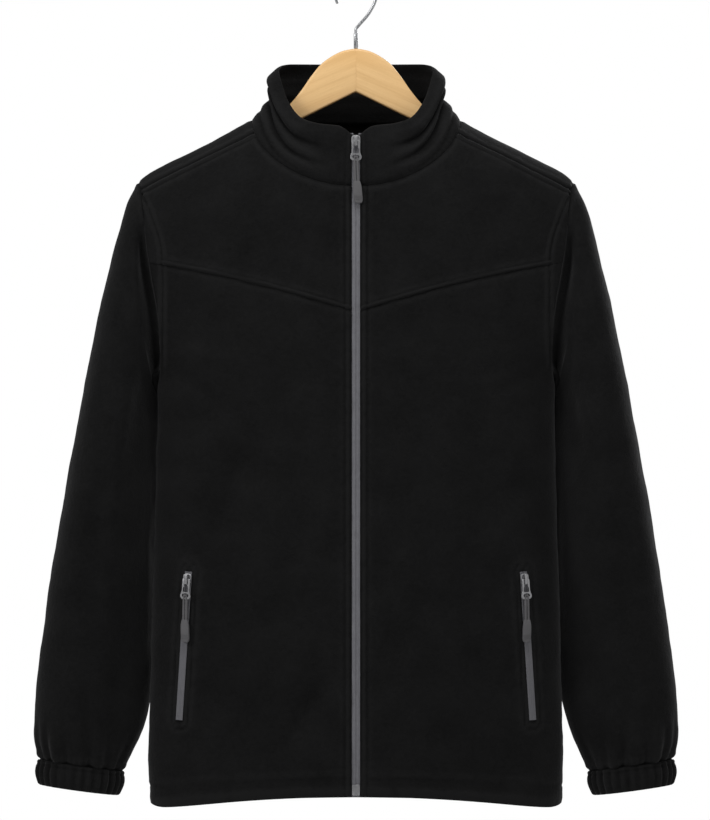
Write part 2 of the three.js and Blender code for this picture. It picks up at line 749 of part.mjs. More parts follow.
function frontLeftHeights() {
  const top = armholePoint(yokeStep).z;
  const armhole = range(yokeStep, armpitStep - 1).reverse().map((k) => armholePoint(k).z);
  const heights = [...sideHeights(), ...armhole];
  return heights.map((z) => lerp(hemFront, yokeAtZip, (z - hemSide) / (top - hemSide))).slice(0, -1);
}

function yokeHeights() {
  return sample(yokeStep - seamStep, (t) => lerp(yokeAtZip, neckPoint(neckZipAngle).z, t));
}

// One half of the zip: the coil fills the opening and the tape lies behind the turned edge
function zipTapeGeometry() {
  const edge = zipEdge - clearance;
  const behind = doubled + clearance;
  const section = [
    [tapeSplit, coilSink],
    [edge, coilSink],
    [edge, behind],
    [tapeHalfWidth, behind],
    [tapeHalfWidth, behind + tapeThickness],
    [tapeSplit, behind + tapeThickness],
  ];
  return barGeometry(zipLine(), section);
}

// A bar of one section along a line in the plane x = 0
function barGeometry(line, section) {
  const rings = line.map((p) => section.map(([x, depth]) => vector(x, p.y + depth, p.z)));
  return tubeFromRings(rings);
}

// A closed tube through rings of points, whose ends are flat
function tubeFromRings(rings) {
  const count = rings[0].length;
  const last = rings.length - 1;
  const positions = rings.flat().flatMap((p) => [p.x, p.y, p.z]);
  const indices = [];
  for (let j = 0; j < last; j += 1) {
    for (let i = 0; i < count; i += 1) {
      const a = j * count + i;
      const b = j * count + ((i + 1) % count);
      indices.push(a, b, b + count, a, b + count, a + count);
    }
  }
  const flat = rings[0].map((p) => new THREE.Vector2(p.x, p.y));
  for (const [a, b, c] of THREE.ShapeUtils.triangulateShape(flat, [])) {
    const far = last * count;
    indices.push(a, c, b, far + a, far + b, far + c);
  }
  return facingOut(positions, indices);
}

// The pockets' zips lie on the fronts, made from the fronts' own points moved out

function pocketPoint(sideSign, t) {
  const x = sideSign * lerp(pocketTop.x, pocketBottom.x, t);
  return bodyPoint(x, lerp(pocketTop.z, pocketBottom.z, t), 'front');
}

function pocketZipGeometry(sideSign) {
  const outer = [];
  const inner = [];
  for (const t of evenly(pocketRows)) {
    const middle = pocketPoint(sideSign, t);
    const down = pocketPoint(sideSign, 1).sub(pocketPoint(sideSign, 0)).normalize();
    const across = bodyNormal(middle).cross(down).normalize();
    const row = [-pocketHalfWidth, 0, pocketHalfWidth].map((aside) =>
      ontoBody(middle.clone().addScaledVector(across, aside)));
    const moved = (out) => row.map((p) => p.clone().addScaledVector(bodyNormal(p), foldAt(p) + out));
    outer.push(moved(pocketLift + pocketThickness));
    inner.push(moved(pocketLift));
  }
  return wallGeometry(outer, inner, false);
}

// A place on a zip: X across it, Y into the cloth and Z up along it, on the zip's face
function zipPlace(upper, lower, outward) {
  const up = upper.clone().sub(lower).normalize();
  const out = outward.clone().addScaledVector(up, -outward.dot(up)).normalize();
  const across = out.clone().negate().cross(up);
  return { origin: upper, across, inward: out.negate(), up };
}

function frontZipPlace(upperHeight, lowerHeight) {
  const line = zipLine();
  const at = (height) => {
    const k = line.findIndex((p) => p.z >= height);
    const t = (height - line[k - 1].z) / (line[k].z - line[k - 1].z);
    return line[k - 1].clone().lerp(line[k], t).add(vector(0, coilSink - sliderLift, 0));
  };
  return zipPlace(at(upperHeight), at(lowerHeight), vector(0, -1, 0));
}

function pocketZipPlace(sideSign) {
  const length = pocketBottom.z - pocketTop.z;
  const at = (height) => {
    const p = pocketPoint(sideSign, (height - pocketTop.z) / length);
    return p.addScaledVector(bodyNormal(p), foldAt(p) + pocketLift + pocketThickness);
  };
  const upper = at(pullHeightOnPocket);
  return zipPlace(upper, at(pullHeightOnPocket + tipBottom), bodyNormal(upper));
}

// Small hard parts, cut and joined as solids

function toSolid(geometry) {
  const bare = geometry.clone();
  bare.deleteAttribute('normal');
  bare.deleteAttribute('uv');
  const merged = mergeVertices(bare, 1e-4);
  return new wasm.Manifold(new wasm.Mesh({
    numProp: 3,
    vertProperties: Float32Array.from(merged.attributes.position.array),
    triVerts: Uint32Array.from(merged.index.array),
  }));
}

function fromSolid(solid) {
  const mesh = solid.getMesh();
  const geometry = new THREE.BufferGeometry();
  geometry.setAttribute('position', new THREE.Float32BufferAttribute(mesh.vertProperties, 3));
  geometry.setIndex(Array.from(mesh.triVerts));
  return geometry;
}

// A flat plate whose outline is drawn across and up, from its near face outwards
function plate(shape, near, thickness) {
  const geometry = new THREE.ExtrudeGeometry(shape, { depth: thickness, bevelEnabled: false, curveSegments: 5 });
  return geometry.rotateX(Math.PI / 2).translate(0, near, 0);
}

function block(width, near, far, low, high) {
  const geometry = new THREE.BoxGeometry(width, near - far, high - low);
  return toSolid(geometry.translate(0, (near + far) / 2, (low + high) / 2));
}

function outline(points) {
  return new THREE.Shape(points.map(([x, z]) => new THREE.Vector2(x, z)));
}

const bothSides = (points) => [...points, ...points.map(([x, z]) => [-x, z]).reverse()];

const axisOut = clearance + sliderPlate + bridgeHole;

function sliderGeometry() {
  const half = sliderWidth / 2;
  const shield = outline(bothSides([
    [0.8 * half, sliderTop], [half, 0.7 * sliderTop], [half, 0.2 * sliderBottom], [0.78 * half, sliderBottom],
  ]));
  const face = -clearance - sliderPlate;
  const beam = face - 2 * bridgeHole;
  const holeHalf = bridgeHole + 0.2;
  const body = toSolid(plate(shield, -clearance, sliderPlate));
  const bridge = block(bridgeWidth, -2 * clearance, beam - bridgeBeam, -bridgeHalfLength, bridgeHalfLength);
  const hole = block(2 * bridgeWidth, face, beam, -holeHalf, holeHalf);
  return fromSolid(body.add(bridge.subtract(hole)));
}

function tabGeometry() {
  const half = tabWidth / 2;
  const shape = outline(bothSides([
    [half - 0.9, tabBar], [half - 0.8, tabNarrows], [half, -15], [half, -17.5], [0.6 * half, -tabLength],
  ]));
  const eye = outline(Array.from({ length: 12 }, (_, k) => {
    const angle = radians(30 * k);
    return [eyeHalfWidth * Math.cos(angle), eyeMiddle + eyeHalfHeight * Math.sin(angle)];
  }));
  const near = tabThickness / 2 - axisOut;
  const slot = block(3, near + 1, near - tabThickness - 1, tabSlot, -tabBar);
  const hole = toSolid(plate(eye, near + 1, tabThickness + 2));
  return fromSolid(toSolid(plate(shape, near, tabThickness)).subtract(slot).subtract(hole));
}

function pullerGeometry() {
  const strapHalf = pullerWidth / 2;
  const tipHalf = tipWidth / 2;
  const strap = outline(bothSides([
    [0.7 * strapHalf, pullerTop], [strapHalf, pullerTop - 1.5], [strapHalf, tipTop - 2],
  ]));
  const tip = outline(bothSides([
    [strapHalf, tipTop], [tipHalf, tipTop - 5], [tipHalf, tipBottom + 4], [0.75 * tipHalf, tipBottom],
  ]));
  const layers = toSolid(plate(strap, pullerThickness / 2 - axisOut, pullerThickness))
    .add(toSolid(plate(tip, tipThickness / 2 - axisOut, tipThickness)));
  const slotHalf = tabThickness / 2 + clearance;
  const slot = block(2 * tabWidth, slotHalf - axisOut, -slotHalf - axisOut, -tabLength - 0.4, pullerTop + 2);
  const plugHalf = eyeHalfHeight - 0.5;
  const plugOut = slotHalf + 0.1;
  const plug = block(2.2, plugOut - axisOut, -plugOut - axisOut, eyeMiddle - plugHalf, eyeMiddle + plugHalf);
  return fromSolid(layers.subtract(slot).add(plug));
}

function zipBoxGeometry() {
  const height = boxTop - boxBottom;
  const shape = outline(bothSides([[3.6, 0], [4.2, -0.8], [4.2, 1 - height], [3.6, -height]]));
  return plate(shape, -clearance, sliderPlate);
}

// The hanger

// The height of the shoulder's ridge at a distance from the middle
function ridgeHeight(x) {
  let low = shoulderTip;
  let high = neckSide + 20;
  for (let round = 0; round < 40; round += 1) {
    const middle = (low + high) / 2;
    if (halfWidthAt(middle) > x) low = middle;
    else high = middle;
  }
  return low;
}

function hangerWoodGeometry() {
  const arm = sample(5, (t) => lerp(armStart, armEnd - 6, t)).map((x) => [x, ridgeHeight(x) - armSink]);
  const endTop = ridgeHeight(armEnd) - armSink;
  const fall = (endTop - armDepth + 2 - woodApex) / armEnd;
  const end = [[armEnd, endTop - 5], [armEnd, endTop - armDepth + 6], [armEnd - 5, woodApex + fall * (armEnd - 5)]];
  const right = [...woodNeck, ...arm, ...end];
  const shape = outline([...right, [0, woodApex], ...right.map(([x, z]) => [-x, z]).reverse()]);
  const geometry = new THREE.ExtrudeGeometry(shape, {
    depth: woodThickness - 2 * woodBevel,
    bevelEnabled: true,
    bevelSize: woodBevel,
    bevelThickness: woodBevel,
    bevelOffset: -woodBevel,
    bevelSegments: 2,
    curveSegments: 4,
  });
  return geometry.rotateX(Math.PI / 2).translate(0, woodThickness / 2 - woodBevel, 0);
}

function hangerHookGeometry() {
  const middle = wire - hookRadius;
  const stem = [[0, woodTop + clearance], [0, stemTop], [0, stemTop + 0.6]];
  const arc = sample(20, (t) => {
    const angle = radians(lerp(hookStart, hookEnd, t));
    return [hookRadius * Math.cos(angle), middle + hookRadius * Math.sin(angle)];
  });
  const path = [...stem, ...wireBend, ...arc].map(([x, z]) => vector(x, 0, z));
  const rings = path.map((p, k) => {
    const before = path[Math.max(0, k - 1)];
    const after = path[Math.min(path.length - 1, k + 1)];
    const along = after.clone().sub(before).normalize();
    const aside = vector(along.z, 0, -along.x);
    const radius = k < 2 ? stemRadius : wire;
    return Array.from({ length: hookSides }, (_, i) => {
      const angle = (2 * Math.PI * i) / hookSides;
      return p.clone().addScaledVector(aside, radius * Math.cos(angle)).add(vector(0, radius * Math.sin(angle), 0));
    });
  });
  return tubeFromRings(rings);
}

// Putting it together

const fleece = new THREE.MeshStandardMaterial({ color: 0x1b1b1d, roughness: 1, metalness: 0 });
const tapeGrey = new THREE.MeshStandardMaterial({ color: 0x66666a, roughness: 0.8, metalness: 0 });
const pullGrey = new THREE.MeshStandardMaterial({ color: 0x4c4c50, roughness: 0.7, metalness: 0 });
const sliderMetal = new THREE.MeshStandardMaterial({ color: 0x8f9094, roughness: 0.35, metalness: 1 });
const beech = new THREE.MeshStandardMaterial({ color: 0xe3b77c, roughness: 0.45, metalness: 0 });
const steel = new THREE.MeshStandardMaterial({ color: 0xb5b7ba, roughness: 0.25, metalness: 1 });

const jacket = new THREE.Group();

function addPiece(name, geometry, material, place) {
  const mesh = new THREE.Mesh(geometry, material);
  mesh.name = name;
  if (place) {
    const turn = new THREE.Matrix4().makeBasis(place.across, place.inward, place.up);
    mesh.quaternion.setFromRotationMatrix(turn);
    mesh.position.copy(place.origin);
  }
  jacket.add(mesh);
}

function mirrorGeometry(geometry) {
  const flipped = geometry.clone();
  const positions = flipped.attributes.position;
  for (let k = 0; k < positions.count; k += 1) positions.setX(k, -positions.getX(k));
  flipped.setIndex(Array.from(flipped.index.array).reverse());
  return flipped;
}

const sides = [
  { name: 'left', sign: 1 },
  { name: 'right', sign: -1 },
];

addPiece('back', backPanel(), fleece);
addPiece('collar', collarGeometry(), fleece);
for (const side of sides) {
  const turned = (geometry) => (side.sign > 0 ? geometry : mirrorGeometry(geometry));
  addPiece(`front_${side.name}`, frontPanel(side.sign), fleece);
  addPiece(`yoke_${side.name}`, frontYoke(side.sign), fleece);
  addPiece(`sleeve_${side.name}`, turned(sleeveGeometry()), fleece);
  addPiece(`cuff_${side.name}`, turned(cuffGeometry()), fleece);
  addPiece(`zip_tape_${side.name}`, turned(zipTapeGeometry()), tapeGrey);
  addPiece(`pocket_zip_${side.name}`, pocketZipGeometry(side.sign), tapeGrey);
  const place = pocketZipPlace(side.sign);
  addPiece(`pocket_slider_${side.name}`, sliderGeometry(), sliderMetal, place);
  addPiece(`pocket_tab_${side.name}`, tabGeometry(), sliderMetal, place);
  addPiece(`pocket_puller_${side.name}`, pullerGeometry(), pullGrey, place);
}

const frontPlace = frontZipPlace(pullHeightOnZip, pullHeightOnZip + tipBottom);
addPiece('zip_slider', sliderGeometry(), sliderMetal, frontPlace);
addPiece('zip_tab', tabGeometry(), sliderMetal, frontPlace);
addPiece('zip_puller', pullerGeometry(), pullGrey, frontPlace);
addPiece('zip_box', zipBoxGeometry(), sliderMetal, frontZipPlace(boxTop, boxBottom));
addPiece('hanger_wood', hangerWoodGeometry(), beech);
addPiece('hanger_hook', hangerHookGeometry(), steel);

export default jacket;
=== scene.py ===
"""A zipped fleece jacket on a wooden hanger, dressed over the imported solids.

Working sizes are millimetres in the frame's own axes: +Z up, the front towards -Y and the
wearer's right sleeve at -X. A mesh gets metres when it is made.
"""

import math

import bpy
import numpy as np
from mathutils import Matrix, Vector, noise
from mathutils.kdtree import KDTree


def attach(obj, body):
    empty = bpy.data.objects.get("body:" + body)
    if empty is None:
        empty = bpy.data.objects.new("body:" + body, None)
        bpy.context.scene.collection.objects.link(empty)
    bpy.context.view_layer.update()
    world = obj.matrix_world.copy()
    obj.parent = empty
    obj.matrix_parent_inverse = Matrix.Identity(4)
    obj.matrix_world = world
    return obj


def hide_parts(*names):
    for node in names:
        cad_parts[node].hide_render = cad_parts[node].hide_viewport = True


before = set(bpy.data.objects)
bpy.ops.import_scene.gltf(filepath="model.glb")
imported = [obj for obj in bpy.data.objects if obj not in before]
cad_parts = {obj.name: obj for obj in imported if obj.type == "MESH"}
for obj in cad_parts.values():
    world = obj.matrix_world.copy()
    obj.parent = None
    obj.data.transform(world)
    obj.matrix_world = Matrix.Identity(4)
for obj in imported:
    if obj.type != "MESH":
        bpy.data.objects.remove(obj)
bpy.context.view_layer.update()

bl_info = {
    "name": "Fleece Jacket",
    "version": (1, 0, 0),
    "blender": (4, 5, 0),
    "location": "3D View > Sidebar > Jacket",
    "description": "Builds a zipped fleece jacket on a wooden hanger, with its stage",
    "category": "Object",
}

ROOT = "jacket"
MM = 0.001

# The cloth's thickness, single and doubled, half the gap at a seam, and the gap of hard pieces
CLOTH = 2.2
DOUBLED = 4.4
SEAM_INSET = 0.02
CLEARANCE = 0.3

# Heights on the body, how much the neck drops in front, and how much the yoke's seam bows up
HEM_FRONT = -878.0
HEM_SIDE = -891.3
HEM_CORNER = 4.0
HEM_BACK = -886.0
HEM_STITCH = -869.0
ARMPIT = -438.0
SHOULDER_TIP = -222.0
NECK_SIDE = -156.0
NECK_DROP = 72.0
NECK_HALF_WIDTH = 112.0
YOKE_AT_ZIP = -361.0
YOKE_BOW = 3.7

# Distances from the zip's middle: the fronts' edges, and where the body's folds fade out
ZIP_EDGE = 4.6
FOLDS_STOP = 18.0
TURNED_EDGE = 8.0

# Cells of a panel's grid before they are divided further
NECK_CELLS = 9
SHOULDER_CELLS = 7
BACK_NECK_CELLS = 7
WRAP_CELLS = 2
SIDE_CELLS = 10
ARMHOLE_CELLS = 32
ARMPIT_CELL = 16
YOKE_CELL = 7
SEAM_CELL = WRAP_CELLS
FRONT_CELLS = NECK_CELLS + SHOULDER_CELLS
NECK_SEAM_ANGLE = 76.0
CELL_SPLIT = 5

# Shares along a line, close together
FINE = np.linspace(0, 1, 400)

# Rows close to a panel's edges, and where its even rows start, in millimetres from the edge
EDGE_ROWS = (0.45, 1.1, 1.9, 2.7, 3.5, 4.4)
EVEN_ROWS_FROM = 5.2

# About how wide or high a panel's cells are, and how long its edges are
SIDE_CELL = 15.0
HEM_CELL = 21.5
YOKE_SEAM_CELL = 14.0
SHOULDER_CELL = 20.0
WRAP_CELL = 12.0
NECK_FRONT_LENGTH = 118.0
YOKE_SEAM_LENGTH = 225.0
HEM_FRONT_LENGTH = 232.0
HEM_ZIP_ANGLE = 0.68
NECK_ZIP_ANGLE = math.degrees(math.asin(ZIP_EDGE / NECK_HALF_WIDTH))

# The hem's row of stitching: half the body's width there, and its height at the zip and behind
HEM_HALF_WIDTH = 219.0
HEM_ROW_FRONT = -857.0
HEM_ROW_BACK = -865.5

# The cloth beside each seam: how deep it rolls into the seam, then the height of the ridge beside
# the seam, its distance and its width
SEAM_EDGES = {
    "yoke": (0.7, 0.3, 4, 3),
    "side": (1.0, 0.3, 5, 3.5),
    "neck": (0.8, 0.6, 4, 2.6),
    "neck_behind": (0.2, 0.3, 5, 3),
    "shoulder_behind": (0.9, 0.9, 4, 2.8),
    "sleeve": (1.0, 0.9, 4.5, 3),
}
ZIP_VALLEY = 0.8
ZIP_PUFF = 0.6
YOKE_VALLEY = 0.7
SHOULDER_STITCH = 6.5
SHOULDER_PUFF = 1.3
SHOULDER_GROOVE = 0.8

# The cloth's unevenness: size and height
BROAD_WANDER = (34, 0.95)
SMALL_WANDER = (11, 0.3)
SLEEVE_WANDER = (34, 1.0)
COLLAR_WANDER = (26, 1.1)
COLLAR_SMALL_WANDER = (9, 0.3)

# How much painted light and shade ridges, grooves, unevenness and folds put into the nap's colour
RIDGE_SHADE = 2.8
GROOVE_SHADE = 0.7
WANDER_SHADE = 0.35
FOLD_SHADE = 0.03

# Level sections of the body: height, half width, depth in front, depth behind, roundness
BODY_SECTIONS = (
    (-892, 219.5, 70, 64, 2.3),
    (-870, 221.3, 71, 65, 2.3),
    (-830, 222.4, 71.5, 66, 2.3),
    (-776, 220.5, 71.5, 66, 2.3),
    (-670, 218.3, 71, 66, 2.3),
    (-563, 215, 69, 65, 2.3),
    (-438, 213.5, 66, 64, 2.3),
    (-400, 224, 65, 64, 2.25),
    (-350, 239, 64, 63, 2.2),
    (-300, 248, 62, 62, 2.15),
    (-260, 250, 59.5, 60, 2.1),
    (-240, 246, 57.5, 58.5, 2.05),
    (-222, 233, 55.5, 57, 2),
    (-207.6, 213.5, 53.5, 56, 2),
    (-182, 161.6, 49, 54.5, 2),
    (-156, 112, 44, 53, 2),
    (-130, 60, 40, 51, 2),
)

# Where the armhole's seam lies, seen from the front: height, across
ARMHOLE_SECTIONS = (
    (-438, 213.5),
    (-424, 210.6),
    (-405, 209.4),
    (-381, 210),
    (-349, 214),
    (-327, 218),
    (-295, 223.5),
    (-270, 226),
    (-248, 228),
    (-230.2, 230.5),
    (-222, 233),
)

# Where the armhole's double row of stitching lies on the front and back: height, across
ARMHOLE_ROW = (
    (-440, 207.5),
    (-400, 206.4),
    (-350, 206.6),
    (-302, 207),
    (-284, 210),
    (-266, 216),
    (-249, 222.5),
    (-232, 230.5),
)
ROW_RIDGE = 2.8

# Sections of the sleeve: outer end, its height, inner end, its height, how far the inner end
# lies behind, half depth
SLEEVE_SECTIONS = (
    (244.6, -242, 212.8, -447, 4, 36),
    (256.6, -283, 212, -456, 14, 42),
    (268.6, -330, 211, -465, 23, 48),
    (279.6, -380, 210.2, -475, 30, 53),
    (289.6, -430, 210, -491, 35, 57),
    (300.6, -490, 210, -526, 38, 60),
    (311.6, -550, 210.6, -575, 38, 60),
    (322.6, -615, 212.5, -636, 37, 57),
    (332.6, -680, 214.5, -700, 35, 53),
    (340.6, -742, 218.8, -762, 28, 49),
    (345.1, -790, 229, -808, 17, 45),
    (345.6, -820, 240, -834, 9, 38),
    (339.5, -840.7, 250, -853.7, 5, 28),
    (338, -843.7, 251.5, -856.7, 5, 26.5),
)

# How far the sleeve's end is tucked into the cuff
SLEEVE_TUCK = 3.4

# Rows near the sleeve's two ends, counted in sections from the armhole
SLEEVE_FIRST_ROWS = (0, 0.15, 0.4, 0.7)
SLEEVE_LAST_ROWS = (14.93, 14.97, 15, 15.4, 16)

# Sections of the cuff, in the same columns
CUFF_SECTIONS = (
    (340.5, -841.2, 249.5, -854.2, 5, 28),
    (343, -854, 249.5, -866.5, 5, 29.5),
    (340.5, -868, 254.5, -880, 5, 28),
)

# The cuff's gathers, the points across each, and the thickness of its doubled wall
CUFF_GATHERS = 28
POINTS_PER_GATHER = 10
CUFF_WALL = 3.6

# Soft folds of the body: start across and up, end across and up, width, how far it stands out
FRONT_FOLDS = (
    (-165, -628, -111, -488, 24, -5),
    (-120, -650, -72, -500, 30, 3),
    (-22, -742, -88, -842, 22, -4),
    (165, -600, 120, -462, 24, -5),
    (112, -640, 82, -500, 30, 3),
    (26, -664, 54, -734, 22, -4),
)
BACK_FOLDS = (
    (-70, -300, -120, -520, 34, -6),
    (76, -310, 118, -560, 34, -6),
    (-30, -560, -76, -800, 32, -5),
    (44, -600, 70, -820, 30, -4.5),
    (6, -420, 14, -760, 36, 4),
)

# Smaller folds that the solids leave out, in the same columns
FRONT_CREASES = (
    (-163, -625, -112, -490, 11, -2.4),
    (-24, -745, -86, -838, 10, -2),
    (163, -598, 121, -464, 11, -2.4),
    (28, -668, 54, -732, 10, -2),
    (-206, -420, -128, -470, 9, -2.2),
    (-204, -404, -110, -416, 10, 1.6),
    (-186, -470, -150, -560, 12, 1.8),
    (-200, -560, -196, -700, 11, -2),
    (-60, -520, -40, -640, 16, -1.6),
    (-96, -700, -136, -800, 15, 2),
    (-150, -760, -170, -846, 12, -1.8),
    (-44, -820, -60, -874, 13, 1.6),
    (-118, -846, -122, -878, 15, -1.4),
    (206, -420, 132, -462, 9, -2.2),
    (204, -402, 112, -418, 10, 1.6),
    (184, -480, 150, -570, 12, 1.8),
    (202, -570, 198, -706, 11, -2),
    (56, -500, 44, -640, 16, -1.6),
    (92, -690, 128, -796, 15, 2),
    (150, -744, 164, -850, 12, -1.8),
    (40, -806, 66, -872, 13, 1.6),
    (120, -842, 130, -880, 15, -1.4),
    (-170, -300, -120, -350, 14, -1.2),
    (172, -296, 118, -352, 14, -1.2),
    (-70, -262, -58, -320, 12, -1.2),
    (72, -262, 60, -322, 12, -1.2),
)
BACK_CREASES = (
    (-206, -424, -120, -470, 10, -2.4),
    (-204, -402, -112, -420, 10, 1.8),
    (206, -424, 124, -474, 10, -2.4),
    (204, -402, 110, -418, 10, 1.8),
    (-150, -250, -168, -360, 15, -2),
    (152, -252, 166, -366, 15, -2),
    (-40, -190, -24, -280, 15, -1.8),
    (40, -192, 22, -286, 15, -1.8),
    (-150, -560, -170, -760, 15, 2),
    (156, -580, 172, -770, 15, 2),
    (-196, -600, -200, -740, 10, -2),
    (200, -590, 202, -750, 10, -2),
    (-100, -760, -112, -870, 16, -2),
    (112, -770, 104, -872, 16, -2),
    (0, -800, 6, -874, 18, -1.8),
)

# Soft folds of the sleeve: first and last section, angle from the top by the front, how far that
# angle turns, width in degrees, how far it stands out
SLEEVE_FOLDS = (
    (2, 7, 128, -16, 16, -5),
    (5, 11, 62, 26, 18, -4),
    (8, 13, 110, 10, 14, -4),
    (2, 8, 236, 18, 18, -5),
    (7, 13, 292, -24, 18, -4),
)

# The sleeve's smaller folds, which the solids leave out, in the same columns
SLEEVE_CREASES = (
    (0.5, 4, 60, 10, 9, -1.6),
    (0.5, 3.5, 92, 22, 8, -1.5),
    (1, 5, 150, -20, 9, -2),
    (4, 8, 100, -14, 10, 1.6),
    (6, 10, 150, 12, 10, -1.8),
    (11, 13.6, 22, 4, 7, -2.4),
    (11.2, 13.8, 42, 2, 5, -3.4),
    (10.8, 13.8, 56, -3, 6, 2.2),
    (11.3, 13.9, 70, 2, 4.5, -2.6),
    (10.2, 14, 84, 26, 6, -4.2),
    (10.6, 13.8, 104, 14, 7, 2.4),
    (11.4, 13.8, 122, 4, 5, -2.6),
    (11, 13.6, 146, 4, 7, -2.2),
    (0.5, 4, 300, -10, 10, -1.8),
    (1, 5, 212, 12, 9, -1.8),
    (5, 9, 256, -10, 12, 1.8),
    (10.4, 13.2, 216, 8, 6, -1.8),
    (10.6, 13.2, 244, -6, 6, 1.8),
    (10.4, 13.2, 274, 4, 6, -2),
    (10.6, 13.2, 306, 6, 7, 1.6),
    (10.4, 13.2, 334, -4, 7, -1.8),
)

# The deep fold beside the armhole, on the sleeve: from the seam, width, how far it stands out
ARMHOLE_FOLD = (7, 9.5, -12)

# The collar's rim: degrees from the front, height
COLLAR_RIM = (
    (0, -176),
    (4, -171.5),
    (8, -166.5),
    (12, -163.5),
    (30, -160),
    (45, -153),
    (60, -135.5),
    (75, -113),
    (90, -102),
    (100, -98.2),
    (110, -96),
    (125, -94.2),
    (180, -93.2),
)

# The rim's half width and its depth in front and behind, how far the collar's sides tuck in and
# crease, how far it laps over its seam, and the shares of its height at its last rows
COLLAR_HALF_WIDTH = 88.0
COLLAR_FRONT = 51.0
COLLAR_BACK = 49.0
COLLAR_TUCK = 7.5
COLLAR_CREASE = 1.8
COLLAR_LAP = 2.5
COLLAR_TOP_ROWS = (0.94, 0.96, 0.975, 0.99, 1)

# Folds that run round the collar: share of its height at the side and near the front, how far it
# stands out, width as a share of the height
COLLAR_FOLDS = (
    (0.87, 0.84, 1.4, 0.07),
    (0.72, 0.60, -3.0, 0.05),
    (0.585, 0.46, 1.9, 0.055),
    (0.44, 0.31, -2.8, 0.045),
    (0.31, 0.19, 1.6, 0.05),
    (0.175, 0.08, -1.7, 0.035),
)

# The front zip's coil and tapes, from the zip's middle
COIL_SINK = 1.0
COIL_HALF_WIDTH = 3.1
TAPE_SPLIT = 0.15
TAPE_THICKNESS = 1.2
TAPE_HALF_WIDTH = 12.0
TOP_SPREAD = 2.6
COLLAR_ROWS = 6

# The pockets' zips: across and up at each end, then their sizes and the painted shade on their tape, as
# if they lay in the welt's shadow
POCKET_TOP = (178.2, -638.8)
POCKET_BOTTOM = (188.3, -797.2)
POCKET_HALF_WIDTH = 4.0
POCKET_COIL_HALF_WIDTH = 2.7
POCKET_LIFT = 0.45
POCKET_THICKNESS = 1.0
POCKET_SPLIT = 6.0
POCKET_SHADE = -0.55
POCKET_STEPS = (0, 0.08, 0.2, 0.35, 0.55, 0.72, 0.88, 0.97, 1)

# Heights of the pulls' axes, and how far the pulls' tips hang aside
PULL_ON_ZIP = -180.0
PULL_ON_POCKET = -647.0
FRONT_LEAN = 3.0
POCKET_LEAN = -3.4
LEAN_BEND = 1.7

# Sliders and their pulls, measured from the pull's axis: across, out and along the zip
SLIDER_WIDTH = 9.4
SLIDER_TOP = 6.2
SLIDER_BOTTOM = -5.8
SLIDER_PLATE = 1.5
SLIDER_LIFT = 0.3
BRIDGE_WIDTH = 3.2
BRIDGE_TOP = 5.4
BRIDGE_BOTTOM = -5.2
BRIDGE_HOLE = 1.4
BRIDGE_BEAM = 1.0
TAB_THICKNESS = 1.4
TAB_WIDTH = 9.0
TAB_FLARE = 12.4
TAB_LENGTH = 21.6
TAB_BAR = 0.7
EYE_MIDDLE = -17.2
EYE_HALF_WIDTH = 3.9
EYE_HALF_HEIGHT = 2.3
CORD_TOP = -15.6
CORD_WIDTH = 3.1
TIP_TOP = -43.0
TIP_BOTTOM = -67.0
TIP_WIDTH = 9.4
TIP_THICKNESS = 3.5
TIP_GROOVES = (3.4, 5.2, 7.0)
AXIS_OUT = CLEARANCE + SLIDER_PLATE + BRIDGE_HOLE

# The box at the foot of the front zip: heights, its groove's depth and its dent's middle
BOX_TOP = -864.5
BOX_BOTTOM = -876.0
BOX_GROOVE = 0.4
BOX_DENT = 6.0

# The hanger's wood: its middle's top and bottom, its arms' ends, how far the arms lie under the
# shoulders and how deep they are, and its upper edge in the middle, across and up
WOOD_THICKNESS = 13.0
WOOD_TOP = -79.2
WOOD_APEX = -125.2
ARM_END = 204.0
ARM_SINK = 5.0
ARM_DEPTH = 21.0
WOOD_NECK = (
    (4.5, WOOD_TOP - 0.1),
    (14.4, -81.5),
    (25.8, -87),
    (37, -95.2),
    (47.6, -107.8),
    (58.5, -123.4),
    (72.4, -139.8),
    (90, -152.4),
)
WOOD_JOINT = 0.22

# The hook: its wire's radius, its bow's radius, the ferrule on the wood, the bend between them,
# across and up, and the size of its end's ball as a share of the wire's
WIRE = 1.6
HOOK_RADIUS = 22.0
STEM_RADIUS = 2.3
STEM_TOP = -62.0
HOOK_BEND = ((0, -66), (0, -61.4), (0, -58), (3, -53.8), (7.5, -48.8), (12.2, -43.4), (16.3, -37))
BALL_SHARE = 1.03

# The stage, in metres
FLOOR_LEVEL = -1.75
FLOOR_SIZE = 24.0
FLOOR_SHADE = 0.6
FLOOR_GLOW = 0.35
SURROUND_LIGHT = 0.2
LIGHT_TARGET = (0, 0, -0.46)

# The soft lights: name, place, size in metres and power in watts
LIGHTS = (
    ("key", (-2.2, -1.5, 0.9), (1.2, 1.2), 34),
    ("fill", (2.2, -1.7, 0.1), (1.6, 1.6), 8),
    ("top", (0.2, -0.9, 1.4), (1.6, 1.0), 25),
    ("behind", (1.5, 2.2, 0.7), (1.6, 1.4), 40),
)

# The camera: how far it stands off, the height that its picture takes in and where it looks
CAMERA_AWAY = 7000.0
FRAME_HEIGHT = 880.0
CAMERA_X = -1.0
CAMERA_Z = -466.5
SENSOR = 36.0


# Curves through the tables


